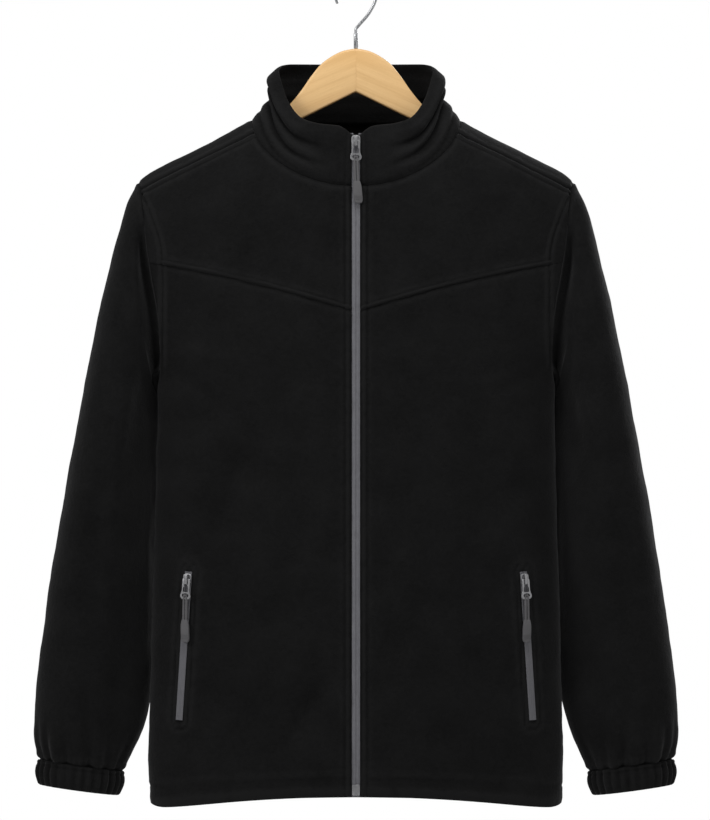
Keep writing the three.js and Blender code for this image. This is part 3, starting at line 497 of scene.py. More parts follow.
def column_curve(rows, column):
    """A smooth curve through one column of a table whose first column rises."""
    table = np.array(rows, dtype=float)
    at = table[:, 0]
    value = table[:, column]
    last = len(at) - 1
    low = np.maximum(np.arange(last + 1) - 1, 0)
    high = np.minimum(np.arange(last + 1) + 1, last)
    slope = (value[high] - value[low]) / (at[high] - at[low])

    def curve(height):
        height = np.asarray(height, dtype=float)
        cell = np.clip(np.searchsorted(at, height, side="right") - 1, 0, last - 1)
        span = at[cell + 1] - at[cell]
        t = np.clip((height - at[cell]) / span, 0, 1)
        rise = t * t * (3 - 2 * t)
        start = t * (1 - t) ** 2 * span * slope[cell]
        end = t * t * (1 - t) * span * slope[cell + 1]
        inside = value[cell] + (value[cell + 1] - value[cell]) * rise + start - end
        below = value[0] + slope[0] * (height - at[0])
        above = value[last] + slope[last] * (height - at[last])
        return np.where(height < at[0], below, np.where(height > at[last], above, inside))

    return curve


half_width_at = column_curve(BODY_SECTIONS, 1)
front_at = column_curve(BODY_SECTIONS, 2)
back_at = column_curve(BODY_SECTIONS, 3)
roundness_at = column_curve(BODY_SECTIONS, 4)
armhole_at = column_curve(ARMHOLE_SECTIONS, 1)
row_at = column_curve(ARMHOLE_ROW, 1)
rim_at = column_curve(COLLAR_RIM, 1)


def points(x, y, z):
    return np.stack(np.broadcast_arrays(x, y, z), axis=-1).astype(float)


def mix(a, b, t):
    return a + (b - a) * t


def smooth(t):
    t = np.clip(t, 0, 1)
    return t * t * (3 - 2 * t)


def hump(distance, width):
    return np.exp(-((distance / width) ** 2))


def unit(v):
    return v / np.maximum(np.linalg.norm(v, axis=-1, keepdims=True), 1e-9)


def mirrored(p):
    return p * np.array((-1.0, 1.0, 1.0))


# The body's surface


def body_level(p):
    """One on the body's surface and less inside it."""
    x, y, z = p[..., 0], p[..., 1], p[..., 2]
    depth = np.where(y < 0, front_at(z), back_at(z))
    n = roundness_at(z)
    return (np.abs(x / half_width_at(z)) ** n + np.abs(y / depth) ** n) ** (1 / n)


def body_gradient(p):
    step = 0.05
    sides = []
    for axis in np.eye(3) * step:
        sides.append((body_level(p + axis) - body_level(p - axis)) / (2 * step))
    return np.stack(sides, axis=-1)


def body_normal(p):
    return unit(body_gradient(p))


def onto_body(p):
    """Moves points straight onto the body's surface."""
    q = p.copy()
    for _ in range(6):
        gradient = body_gradient(q)
        size = np.sum(gradient * gradient, axis=-1, keepdims=True)
        q = q + gradient * (1 - body_level(q))[..., None] / size
    return q


def body_point(x, z, side):
    """The point of the body's surface at x and z, on its front (-1) or back (+1)."""
    n = roundness_at(z)
    left = np.maximum(0, 1 - np.abs(x / half_width_at(z)) ** n) ** (1 / n)
    depth = np.where(np.asarray(side) < 0, -front_at(z), back_at(z))
    return points(x, depth * left, z)


def folds_out(p, folds):
    """How far a table of folds moves points out."""
    out = np.zeros(p.shape[:-1])
    for start_x, start_z, end_x, end_z, width, height in folds:
        dx, dz = end_x - start_x, end_z - start_z
        length = math.hypot(dx, dz)
        from_x, from_z = p[..., 0] - start_x, p[..., 2] - start_z
        along = (from_x * dx + from_z * dz) / length**2
        aside = (from_x * dz - from_z * dx) / length
        out += height * np.sin(np.pi * np.clip(along, 0, 1)) * hump(aside, width)
    return out


def fold_at(p, fine=0.0):
    """How far the body's folds move points out, with a share of the smaller ones."""
    front = folds_out(p, FRONT_FOLDS) + fine * folds_out(p, FRONT_CREASES)
    back = folds_out(p, BACK_FOLDS) + fine * folds_out(p, BACK_CREASES)
    from_zip = smooth((np.abs(p[..., 0]) - FOLDS_STOP) / FOLDS_STOP)
    return np.where(p[..., 1] < 0, front * from_zip, back)


# Lines along which panels meet, on the side of +X


def resample(line, shares):
    """Points at given shares of the length of a line of points."""
    steps = np.linalg.norm(np.diff(line, axis=0), axis=-1)
    total = np.concatenate(([0.0], np.cumsum(steps)))
    want = np.asarray(shares, dtype=float) * total[-1]
    return np.stack([np.interp(want, total, line[:, axis]) for axis in range(3)], axis=-1)


def edged(cell, cells, length):
    """Shares of a line whose first cell is as wide as the turned edge."""
    first = TURNED_EDGE / length
    rest = mix(first, 1, (cell - 1) / (cells - 1))
    return np.where(cell < 1, cell * first, rest)


def armhole_point(cell):
    """The armhole's seam, from the shoulder's tip down its front and up its back."""
    cell = np.asarray(cell, dtype=float)
    angle = 2 * np.pi * cell / ARMHOLE_CELLS
    z = (SHOULDER_TIP + ARMPIT) / 2 + (SHOULDER_TIP - ARMPIT) / 2 * np.cos(angle)
    side = np.where(cell <= ARMPIT_CELL, -1, 1)
    p = body_point(np.minimum(armhole_at(z), half_width_at(z)), z, side)
    at_end = np.minimum(np.abs(cell % ARMPIT_CELL), ARMPIT_CELL - np.abs(cell % ARMPIT_CELL)) < 1e-6
    p[..., 1] = np.where(at_end, 0, p[..., 1])
    return p


def neck_point(degrees):
    degrees = np.asarray(degrees, dtype=float)
    angle = np.radians(degrees)
    across = NECK_HALF_WIDTH * np.sin(angle)
    ahead = np.maximum(np.cos(angle), 0)
    z = np.where(degrees >= 90, NECK_SIDE, NECK_SIDE - NECK_DROP * ahead**1.15)
    return body_point(across, z, np.where(degrees >= 90, 1, -1))


def neck_front(cell):
    line = neck_point(mix(NECK_ZIP_ANGLE, NECK_SEAM_ANGLE, FINE))
    return resample(line, edged(cell, NECK_CELLS, NECK_FRONT_LENGTH))


def ridge(cell):
    """The ridge over the shoulder, from the tip to the neck."""
    z = mix(SHOULDER_TIP, NECK_SIDE, FINE)
    return resample(points(half_width_at(z), 0, z), cell / SHOULDER_CELLS)


def shoulder_seam(cell):
    """The seam in front of the ridge, from the neck to the tip."""
    neck = neck_point(NECK_SEAM_ANGLE)
    tip = armhole_point(SEAM_CELL)
    line = body_point(mix(neck[0], tip[0], FINE), mix(neck[2], tip[2], FINE), -1)
    return resample(line, cell / SHOULDER_CELLS)


def yoke_seam(cell):
    end = armhole_point(YOKE_CELL)
    bow = 4 * YOKE_BOW * FINE * (1 - FINE)
    line = body_point(mix(ZIP_EDGE, end[0], FINE), mix(YOKE_AT_ZIP, end[2], FINE) + bow, -1)
    return resample(line, edged(cell, FRONT_CELLS, YOKE_SEAM_LENGTH))


def level_point(degrees, z):
    n = roundness_at(z)
    angle = np.radians(degrees)
    across = half_width_at(z) * np.abs(np.sin(angle)) ** (2 / n)
    depth = np.abs(np.cos(angle)) ** (2 / n)
    return points(across, np.where(degrees < 90, -front_at(z), back_at(z)) * depth, z)


def hem_corner(from_side):
    """How far the hem rises where it turns at the side."""
    return HEM_CORNER * hump(from_side, 0.13)


def hem_front(cell):
    height = mix(HEM_FRONT, HEM_SIDE, smooth(1.25 * FINE)) + hem_corner(1 - FINE)
    line = level_point(mix(HEM_ZIP_ANGLE, 90, FINE), height)
    return resample(line, edged(cell, FRONT_CELLS, HEM_FRONT_LENGTH))


def hem_back(cell):
    line = level_point(mix(90, 180, FINE), mix(HEM_SIDE, HEM_BACK, FINE) + hem_corner(FINE))
    return resample(line, cell / (BACK_NECK_CELLS + SHOULDER_CELLS))


def side_line(cell):
    """The side from the hem up to the armpit."""
    z = np.interp(cell, (0, 1, SIDE_CELLS), (HEM_SIDE + HEM_CORNER, HEM_STITCH, ARMPIT))
    return points(half_width_at(z), 0, z)


# Grids of points, and the closed walls they make


def finely(cells, low_edge, high_edge, split=CELL_SPLIT):
    """Places along a number of cells, closer together at the edges, whose cells are given in mm."""
    near = np.array(EDGE_ROWS)
    inner = np.linspace(0, cells, cells * split + 1)
    inner = inner[(inner > EVEN_ROWS_FROM / low_edge) & (inner < cells - EVEN_ROWS_FROM / high_edge)]
    return np.concatenate(([0.0], near / low_edge, inner, cells - near[::-1] / high_edge, [cells]))


def sheet_between(low, high, left, right, shares, powers):
    """A sheet between four edges, laid onto the body. Each edge's shape fades away from it."""
    steps = np.linalg.norm(np.diff(right, axis=0), axis=-1)
    lengths = np.concatenate(([0.0], np.cumsum(steps)))
    v = (lengths / lengths[-1])[:, None, None]
    u = shares[None, :, None]
    left_side = mix(left[0], left[-1], v)
    right_side = mix(right[0], right[-1], v)
    p = mix(left_side, right_side, u)
    p = p + (low - mix(low[0], low[-1], u)) * (1 - v) ** powers[0]
    p = p + (high - mix(high[0], high[-1], u)) * v ** powers[1]
    p = p + (left[:, None] - left_side) * (1 - u) ** powers[2]
    p = p + (right[:, None] - right_side) * u ** powers[2]
    p = onto_body(p)
    p[0], p[-1] = low, high
    p[1:-1, 0], p[1:-1, -1] = left[1:-1], right[1:-1]
    return p


def whole_cells(grid, ring=False):
    """Which cells of a grid have all four corners."""
    there = ~np.isnan(grid[..., 0])
    if ring:
        there = np.concatenate((there, there[:, :1]), axis=1)
    return there[:-1, :-1] & there[1:, :-1] & there[:-1, 1:] & there[1:, 1:]


def inset_edges(grid):
    """Draws a sheet's edges back into it, so that two sheets are parted at a seam."""
    cells = np.pad(whole_cells(grid), 1)
    corner = [cells[:-1, :-1], cells[:-1, 1:], cells[1:, :-1], cells[1:, 1:]]
    count = sum(c.astype(int) for c in corner)
    below, above = corner[0] | corner[1], corner[2] | corner[3]
    before, after = corner[0] | corner[2], corner[1] | corner[3]
    padded = np.pad(grid, ((1, 1), (1, 1), (0, 0)), mode="edge")
    p = padded[1:-1, 1:-1]
    inwards = np.zeros_like(p)
    for here, missing, beside in (
        (above, below, padded[2:, 1:-1]),
        (below, above, padded[:-2, 1:-1]),
        (after, before, padded[1:-1, 2:]),
        (before, after, padded[1:-1, :-2]),
    ):
        inwards += np.where((here & ~missing)[..., None], unit(np.nan_to_num(beside - p)), 0)
    for gone, dj, di in ((corner[0], 1, 1), (corner[1], 1, 0), (corner[2], 0, 1), (corner[3], 0, 0)):
        beside = padded[2 * dj : padded.shape[0] - 2 + 2 * dj, 2 * di : padded.shape[1] - 2 + 2 * di]
        notch = (count == 3) & ~gone
        inwards += np.where(notch[..., None], unit(np.nan_to_num(beside - p)), 0)
    far = np.where(count == 2, 1.1, 1.5) * SEAM_INSET
    moves = (count > 0) & (count < 4)
    return grid + np.where(moves[..., None], unit(inwards) * far[..., None], 0)


def grid_lengths(grid, axis):
    """How far each point of a grid lies along its rows or columns."""
    steps = np.linalg.norm(np.diff(grid, axis=axis), axis=-1)
    start = np.zeros_like(np.take(grid[..., 0], [0], axis=axis))
    return np.concatenate((start, np.nancumsum(steps, axis=axis)), axis=axis)


def finish_mesh(name, vertices, faces, corner_uv=None, painted_relief_shade=None):
    """A linked object with smooth faces, from points in millimetres."""
    mesh = bpy.data.meshes.new(name)
    mesh.from_pydata((np.asarray(vertices) * MM).tolist(), [], [list(map(int, f)) for f in faces])
    mesh.polygons.foreach_set("use_smooth", np.ones(len(mesh.polygons), dtype=bool))
    if corner_uv is not None:
        layer = mesh.uv_layers.new(name="UVMap")
        layer.uv.foreach_set("vector", (np.asarray(corner_uv) * MM).astype(np.float32).ravel())
    # Shade values kept on the points, which the finish paints into the colour as light on raised places
    # and shade in sunken ones
    if painted_relief_shade is not None:
        layer = mesh.attributes.new("painted_relief_shade", "FLOAT", "POINT")
        layer.data.foreach_set("value", np.asarray(painted_relief_shade).astype(np.float32))
    mesh.update()
    piece = bpy.data.objects.new(name, mesh)
    bpy.context.scene.collection.objects.link(piece)
    return piece


def wall_piece(name, outer, inner, painted_relief_shade=None, ring=False):
    """A closed wall between an outer and an inner grid, with a rim round its open edges.

    The shade values, mostly how far the outer face stands out, are kept for the finish to paint as light
    and shade.
    """
    rows, columns = outer.shape[:2]
    j, i = np.nonzero(whole_cells(outer, ring))
    number = np.arange(rows * columns).reshape(rows, columns)
    after = (i + 1) % columns
    quads = np.stack((number[j, i], number[j, after], number[j + 1, after], number[j + 1, i]), axis=-1)
    along = grid_lengths(np.concatenate((outer, outer[:, :1]), axis=1), 1)
    along = np.where(np.isnan(along), 0, along).mean(axis=0)
    up = grid_lengths(outer, 0)
    cell_uv = np.stack(
        [
            np.stack((along[i], up[j, i]), axis=-1),
            np.stack((along[i + 1], up[j, after]), axis=-1),
            np.stack((along[i + 1], up[j + 1, after]), axis=-1),
            np.stack((along[i], up[j + 1, i]), axis=-1),
        ],
        axis=1,
    )
    layer = rows * columns
    starts = quads.ravel()
    ends = np.roll(quads, -1, axis=1).ravel()
    forward = starts * layer + ends
    open_edge = ~np.isin(forward, ends * layer + starts)
    start, end = starts[open_edge], ends[open_edge]
    edge_uv = cell_uv.reshape(-1, 2)[open_edge]
    rim = np.stack((end, start, layer + start, layer + end), axis=-1)
    rim_uv = np.repeat(edge_uv[:, None], 4, axis=1)
    faces = np.concatenate((quads, layer + quads[:, ::-1], rim))
    uv = np.concatenate((cell_uv, cell_uv[:, ::-1], rim_uv))
    vertices = np.concatenate((outer.reshape(-1, 3), inner.reshape(-1, 3)))
    corners = vertices[faces[:, :3]]
    volume = np.sum(corners[:, 0] * np.cross(corners[:, 1], corners[:, 2]))
    if volume < 0:
        faces, uv = faces[:, ::-1], uv[:, ::-1]
    used, compact = np.unique(faces, return_inverse=True)
    if painted_relief_shade is not None:
        painted_relief_shade = np.concatenate((np.ravel(painted_relief_shade), np.zeros(layer)))[used]
    return finish_mesh(name, vertices[used], compact.reshape(faces.shape), uv.reshape(-1, 2), painted_relief_shade)


# Seams and their stitching


class Seam:
    """A line that panels meet on, and how far points lie from it and along it."""

    def __init__(self, line, both_sides=True):
        line = resample(line, np.linspace(0, 1, 1200))
        lines = [line, mirrored(line)] if both_sides else [line]
        steps = np.linalg.norm(np.diff(line, axis=0), axis=-1)
        along = np.concatenate(([0.0], np.cumsum(steps)))
        self.along = np.concatenate([along + 1000 * k for k in range(len(lines))])
        everything = np.concatenate(lines)
        self.tree = KDTree(len(everything))
        for k, p in enumerate(everything):
            self.tree.insert(p, k)
        self.tree.balance()

    def near(self, p):
        flat = np.nan_to_num(p.reshape(-1, 3), nan=9999.0)
        found = [self.tree.find(q)[1:] for q in flat]
        index, distance = np.array(found).T
        shape = p.shape[:-1]
        return distance.reshape(shape), self.along[index.astype(int)].reshape(shape)


def pucker(along, strength=0.35):
    """Uneven gathering along a seam, one on average."""
    wave = np.sin(along / 2.1) + np.sin(along / 3.7 + 1.3) + 0.8 * np.sin(along / 8.3 + 0.4)
    return 1 + strength * wave / 2.8 * 1.6


def valley(distance, depth=0.9, width=1.9):
    """The roll of a cloth edge down into its seam."""
    return -depth * hump(distance, width)


def topstitched(distance, along, stitch, puff=0.8, groove=0.75):
    """A puffed ridge between a seam and its row of stitching, and the groove of that row."""
    ridge_height = puff * pucker(along) * hump(distance - 0.52 * stitch, 0.34 * stitch)
    beyond = 0.35 * puff * pucker(along + 7) * hump(distance - stitch - 3.2, 2.4)
    return ridge_height + beyond - groove * hump(distance - stitch, 1.15)


def armhole_row(p, height):
    """The two ridges beside the armhole's stitching, and how far points lie inside the row."""
    z = p[..., 2]
    slope = (row_at(z + 1) - row_at(z - 1)) / 2
    inside = (row_at(z) - np.abs(p[..., 0])) / np.sqrt(1 + slope**2)
    ends = smooth((z - ARMPIT - 4) / 40) * (1 - smooth((z - SHOULDER_TIP + 16) / 12))
    ridges = hump(inside - ROW_RIDGE, 1.6) + hump(inside + ROW_RIDGE, 1.8)
    return ends * (height * pucker(z, 0.25) * ridges - 0.7 * hump(inside, 1.1)), inside


def wander(p, size, height, seed=0):
    """A soft unevenness of the cloth."""
    flat = np.nan_to_num(p.reshape(-1, 3)) / size + seed * 7.31
    values = [noise.noise(q, noise_basis="PERLIN_ORIGINAL") for q in flat.tolist()]
    return height * np.array(values).reshape(p.shape[:-1])


# The cloth panels


def seam_lines():
    """The lines that the body's panels meet on, by name."""
    cells = np.linspace(0, 1, 300)
    ahead = neck_point(mix(NECK_ZIP_ANGLE, 90, cells))
    behind = neck_point(mix(90.01, 180, cells))
    hem = hem_front(cells * FRONT_CELLS), hem_back(cells * (BACK_NECK_CELLS + SHOULDER_CELLS))
    return {
        "armhole": Seam(armhole_point(cells * ARMHOLE_CELLS)),
        "yoke": Seam(yoke_seam(cells * FRONT_CELLS)),
        "shoulder": Seam(shoulder_seam(cells * SHOULDER_CELLS)),
        "neck": Seam(np.concatenate((ahead, behind))),
        "zip": Seam(body_point(ZIP_EDGE, mix(HEM_FRONT, neck_point(NECK_ZIP_ANGLE)[2], cells), -1)),
        "side": Seam(side_line(cells * SIDE_CELLS)),
        "hem": Seam(np.concatenate(hem)),
        "pocket_left": Seam(pocket_line(1, cells), both_sides=False),
        "pocket_right": Seam(pocket_line(-1, cells), both_sides=False),
    }


def seam_edge(name, distance, along):
    """The cloth beside a seam: its roll into the seam and the soft ridge beside it."""
    depth, height, place, width = SEAM_EDGES[name]
    return valley(distance, depth) + height * pucker(along) * hump(distance - place, width)


def zip_edge(distance, along, settings):
    """The turned edge beside the front zip, with its row of stitching."""
    return valley(distance, ZIP_VALLEY) + topstitched(distance, along, settings.zip_stitch, ZIP_PUFF)


def hem_profile(p, seam):
    """The turned hem: its roll at the bottom and the row of stitching above it."""
    distance, along = seam["hem"].near(p)
    row = hem_row_above(p)
    swell = 0.7 * pucker(along, 0.3) * hump(distance - 6, 5)
    return swell - 0.8 * hump(row, 1.2) + 0.3 * pucker(along + 5) * hump(row - 4, 3)


def hem_row_above(p):
    """How far points lie above the hem's row of stitching, in millimetres."""
    across = np.clip(np.abs(p[..., 0]) / HEM_HALF_WIDTH, 0, 1)
    front = mix(HEM_ROW_FRONT, HEM_STITCH, across**2)
    back = mix(HEM_ROW_BACK, HEM_STITCH, across**2)
    return p[..., 2] - np.where(p[..., 1] < 0, front, back)


def dress_panel(grid, wall, detail, fine, seed):
    """The outer and inner grids of a body panel, folded and detailed outside, and its painted shade
    values.
    """
    base = inset_edges(grid)
    normal = body_normal(base)
    fold = fold_at(base, fine)
    settled = base + normal * fold[..., None]
    raised = detail(base)
    uneven = wander(base, *BROAD_WANDER, seed) + wander(base, *SMALL_WANDER, seed + 1)
    outer = settled + normal * (raised + uneven)[..., None]
    inner = settled - normal * wall[..., None]
    # Painted light and shade: ridges are painted lighter, grooves and folds darker, and the unevenness
    # both
    lit = np.where(raised > 0, RIDGE_SHADE, GROOVE_SHADE) * raised
    return outer, inner, lit + WANDER_SHADE * uneven + FOLD_SHADE * fold


def on_side(grid, side):
    return grid if side > 0 else mirrored(grid)[:, ::-1]


def doubled_edges(cell_x, cell_z=None):
    """The wall's thickness over a grid, doubled where an edge is turned in."""
    thick = np.where(cell_x[None, :] <= 1.01, DOUBLED, CLOTH)
    if cell_z is not None:
        thick = np.where(cell_z[:, None] <= 1.01, DOUBLED, thick)
    return thick


def front_panel(side, seam, settings):
    """One front below the yoke's seam, from the zip to the side and the armhole."""
    across = finely(FRONT_CELLS, TURNED_EDGE, SIDE_CELL, split=6)
    rows_above = ARMPIT_CELL - YOKE_CELL
    up = finely(SIDE_CELLS + rows_above, HEM_CELL, YOKE_SEAM_CELL, split=12)
    low, high = hem_front(across), yoke_seam(across)
    right = np.where(
        (up <= SIDE_CELLS)[:, None],
        side_line(np.minimum(up, SIDE_CELLS)),
        armhole_point(ARMPIT_CELL - np.maximum(up - SIDE_CELLS, 0)),
    )
    height = mix(HEM_FRONT, YOKE_AT_ZIP, (right[:, 2] - right[0, 2]) / (right[-1, 2] - right[0, 2]))
    left = body_point(ZIP_EDGE, height, -1)
    left[0] = low[0]
    shares = edged(across, FRONT_CELLS, HEM_FRONT_LENGTH)
    grid = sheet_between(low, high, left, right, shares, (0.6, 2.5, 2))
    wall = doubled_edges(across, up)
    if side < 0:
        wall = wall[:, ::-1]

    def detail(p):
        row, inside = armhole_row(p, settings.armhole_ridge)
        out = zip_edge(*seam["zip"].near(p), settings)
        out += smooth(inside / 3 + 1) * seam_edge("yoke", *seam["yoke"].near(p))
        out += valley(seam["armhole"].near(p)[0]) + row
        out += seam_edge("side", *seam["side"].near(p))
        out += pocket_welt(*seam["pocket_" + side_name(side)].near(p))
        return out + hem_profile(p, seam)

    faces = dress_panel(on_side(grid, side), wall, detail, settings.crease_share, 1)
    return wall_piece("jacket_front_" + side_name(side), *faces)


def yoke_edge(distance, along):
    """The yoke's folded lower edge, stitched down over the front."""
    fold = 1.7 * pucker(along, 0.3) * hump(distance - 2.6, 1.5)
    stitch = -0.4 * hump(distance - 5.2, 1.1)
    beyond = 0.4 * pucker(along + 7) * hump(distance - 7.5, 2.4)
    return valley(distance, YOKE_VALLEY) + fold + stitch + beyond


def front_yoke(side, seam, settings):
    """One front yoke, from its seam up to the neck and the shoulder's seam."""
    across = finely(FRONT_CELLS, TURNED_EDGE, SIDE_CELL, split=9)
    rows = YOKE_CELL - SEAM_CELL
    up = finely(rows, SIDE_CELL, SHOULDER_CELL, split=12)
    low = yoke_seam(across)
    high = np.where(
        (across <= NECK_CELLS)[:, None],
        neck_front(np.minimum(across, NECK_CELLS)),
        shoulder_seam(np.maximum(across - NECK_CELLS, 0)),
    )
    right = armhole_point(YOKE_CELL - up)
    left = body_point(ZIP_EDGE, mix(YOKE_AT_ZIP, high[0, 2], up / rows), -1)
    left[0], left[-1] = low[0], high[0]
    shares = edged(across, FRONT_CELLS, YOKE_SEAM_LENGTH)
    grid = sheet_between(low, high, left, right, shares, (1, 1, 2))
    wall = np.broadcast_to(doubled_edges(across), grid.shape[:2])
    if side < 0:
        wall = wall[:, ::-1]

    def detail(p):
        row, inside = armhole_row(p, settings.armhole_ridge)
        out = zip_edge(*seam["zip"].near(p), settings)
        out += smooth(inside / 3 + 1) * yoke_edge(*seam["yoke"].near(p))
        out += valley(seam["armhole"].near(p)[0]) + row
        distance, along = seam["shoulder"].near(p)
        out += valley(distance)
        out += topstitched(distance, along, SHOULDER_STITCH, SHOULDER_PUFF, SHOULDER_GROOVE)
        return out + seam_edge("neck", *seam["neck"].near(p))

    faces = dress_panel(on_side(grid, side), wall, detail, settings.crease_share, 3)
    return wall_piece("jacket_yoke_" + side_name(side), *faces)


def side_name(side):
    return "left" if side > 0 else "right"


def back_panel(seam, settings):
    """The back, with the strips that it carries over both shoulders."""
    shoulder = finely(SHOULDER_CELLS, SIDE_CELL, SIDE_CELL)
    shoulder = np.concatenate((shoulder[shoulder < SHOULDER_CELLS - 0.01], [SHOULDER_CELLS]))
    neck = np.linspace(0, BACK_NECK_CELLS, BACK_NECK_CELLS * 6 + 1)[1:] + SHOULDER_CELLS
    half = np.concatenate((shoulder, neck))
    rows_above = ARMHOLE_CELLS - ARMPIT_CELL
    up = finely(SIDE_CELLS + rows_above, HEM_CELL, YOKE_SEAM_CELL, split=9)
    neck_angles = 90.0001 + 89.9999 * (neck - SHOULDER_CELLS) / BACK_NECK_CELLS
    high_half = np.concatenate((ridge(shoulder), neck_point(neck_angles)))
    low = both_halves(hem_back(half))
    high = both_halves(high_half)
    left = np.where(
        (up <= SIDE_CELLS)[:, None],
        side_line(np.minimum(up, SIDE_CELLS)),
        armhole_point(ARMPIT_CELL + np.maximum(up - SIDE_CELLS, 0)),
    )
    total = 2.0 * (BACK_NECK_CELLS + SHOULDER_CELLS)
    shares = np.concatenate((half, total - half[-2::-1])) / total
    grid = sheet_between(low, high, left, mirrored(left), shares, (0.6, 2.5, 3))
    wrap = finely(WRAP_CELLS, WRAP_CELL, WRAP_CELL, split=4)
    strip = sheet_between(
        ridge(shoulder),
        shoulder_seam(SHOULDER_CELLS - shoulder),
        armhole_point(wrap),
        neck_point(mix(90, NECK_SEAM_ANGLE, wrap / WRAP_CELLS)),
        shoulder / SHOULDER_CELLS,
        (1, 1, 3),
    )[1:]
    missing = np.full((len(strip), 2 * len(neck) - 1, 3), np.nan)
    grid = np.concatenate((grid, np.concatenate((strip, missing, mirrored(strip)[:, ::-1]), axis=1)))
    wall = np.full(grid.shape[:2], CLOTH)
    wall[: np.sum(up <= 1.01)] = DOUBLED

    def detail(p):
        out = valley(seam["armhole"].near(p)[0]) + armhole_row(p, settings.armhole_ridge)[0]
        out += seam_edge("shoulder_behind", *seam["shoulder"].near(p))
        out += seam_edge("neck_behind", *seam["neck"].near(p))
        out += seam_edge("side", *seam["side"].near(p))
        return out + hem_profile(p, seam)

    return wall_piece("jacket_back", *dress_panel(grid, wall, detail, settings.crease_share, 5))


def both_halves(half):
    """A line from the side to the middle, carried on to the other side."""
    return np.concatenate((half, mirrored(half)[-2::-1]))


# Collar


def collar_columns(base, degrees, t):
    """The collar's outer face: columns round the neck, from the seam up to the rim."""
    angle = np.radians(degrees)
    depth = np.where(degrees < 90, -COLLAR_FRONT, COLLAR_BACK)
    across = np.maximum(ZIP_EDGE, COLLAR_HALF_WIDTH * np.sin(angle))
    rim = points(across, depth * np.abs(np.cos(angle)), rim_at(degrees))
    start = base + np.array((0, 0, SEAM_INSET))
    beside = np.sin(angle)[None, :] ** 2
    outward = points(np.sin(angle), -np.cos(angle), 0)
    t = t[:, None]
    tuck = COLLAR_TUCK * beside * np.sin(np.pi * np.minimum(1, t / 0.75))
    roll = 2 * np.sin(np.pi * t) - 2.5 * beside * np.maximum(0, t - 0.85) / 0.15
    crease = COLLAR_CREASE * beside * np.sin(t * 3 * np.pi)
    return mix(start, rim, t[..., None]) + outward * (roll - tuck + crease)[..., None]


def collar_folds_out(height, turn):
    """The folds that run round the collar, strongest at its sides and fading to the zip."""
    from_front = np.minimum(turn, 360 - turn)
    aside = smooth((from_front - 12) / 34) * (1 - 0.72 * smooth((from_front - 105) / 35))
    to_front = 1 - smooth((from_front - 35) / 50)
    out = 0.5 * np.sin(np.radians(turn * 5)) * np.sin(np.pi * height)
    for k, (side_share, front_share, stands, width) in enumerate(COLLAR_FOLDS):
        middle = mix(side_share, front_share, to_front) + 0.018 * np.sin(np.radians(turn) * 2.3 + 1.9 * k)
        out = out + aside * stands * hump(height - middle, width)
    return out


def collar(settings):
    """The doubled stand collar: its two faces, rounded over at the rim and beside the zip."""
    front = neck_front(finely(NECK_CELLS, TURNED_EDGE, YOKE_SEAM_CELL, split=6))
    front_angle = np.degrees(np.arcsin(np.minimum(1, front[:, 0] / NECK_HALF_WIDTH)))
    back_angle = mix(NECK_SEAM_ANGLE, 180, np.linspace(0, 1, 61)[1:])
    base = np.concatenate((front, neck_point(back_angle)))
    degrees = np.concatenate((front_angle, back_angle))
    t = np.concatenate((np.linspace(0, 0.06, 4), np.linspace(0.08, 0.92, 42), COLLAR_TOP_ROWS))
    half = collar_columns(base, degrees, t)
    outer = np.concatenate((half, mirrored(half)[:, -2::-1]), axis=1)
    along = np.gradient(outer, axis=1)
    along[..., 2] = 0
    inward = unit(points(-along[..., 1], along[..., 0], 0))
    inward[:, 0] = inward[:, -1] = (0, 1, 0)
    turn = np.concatenate((degrees, 360 - degrees[-2::-1]))[None, :]
    height = t[:, None]
    soft = wander(outer, *COLLAR_WANDER, 8) + wander(outer, *COLLAR_SMALL_WANDER, 9)
    soft = soft + settings.collar_crease * collar_folds_out(height, turn)
    soft = soft * np.sin(np.pi * np.clip(height, 0, 1)) ** 0.5
    from_zip = np.minimum(grid_lengths(outer, 1), grid_lengths(outer, 1)[:, -1:] - grid_lengths(outer, 1))
    edge_row = topstitched(from_zip, outer[..., 2], settings.zip_stitch, 0.4, 0.55)
    soft = soft * smooth((from_zip - 4) / 14) + edge_row * (height > 0.02)
    beside = np.abs(np.sin(np.radians(turn))) ** 6
    base_roll = -1.0 * hump(height, 0.05) * (1 - beside)
    rim_round = DOUBLED / 2 * (1 - np.sqrt(1 - np.clip((height - 0.955) / 0.045, 0, 0.97) ** 2))
    side_round = DOUBLED / 2 * (1 - np.sqrt(1 - np.clip(1 - from_zip / 1.6, 0, 0.97) ** 2))
    round_off = np.maximum(rim_round, side_round)
    inner = outer + inward * (DOUBLED - round_off)[..., None]
    face = outer - inward * (soft + base_roll - round_off)[..., None]
    inner = inner - inward * (0.6 * soft * (from_zip > 16))[..., None]
    inner[0, :, 2] -= COLLAR_LAP
    face[0, :, 2] -= COLLAR_LAP * (0.5 + 0.5 * beside[0])
    # The collar's folds, stitching and the roll at its base are kept as painted light and shade
    return wall_piece("jacket_collar", face, inner, soft + base_roll)


# Sleeves and cuffs


def ring_at(section, angle):
    """A ring of points round one sleeve or cuff section, from its outer end by the front."""
    outer, outer_height, inner, inner_height, back, depth = section
    middle = np.array(((outer + inner) / 2, 0, (outer_height + inner_height) / 2))
    half = np.array((outer, 0, outer_height)) - middle
    behind = back * ((1 - np.cos(angle)) / 2) ** 1.5
    across = np.cos(angle)
    return middle + points(half[0] * across, behind - depth * np.sin(angle), half[2] * across)


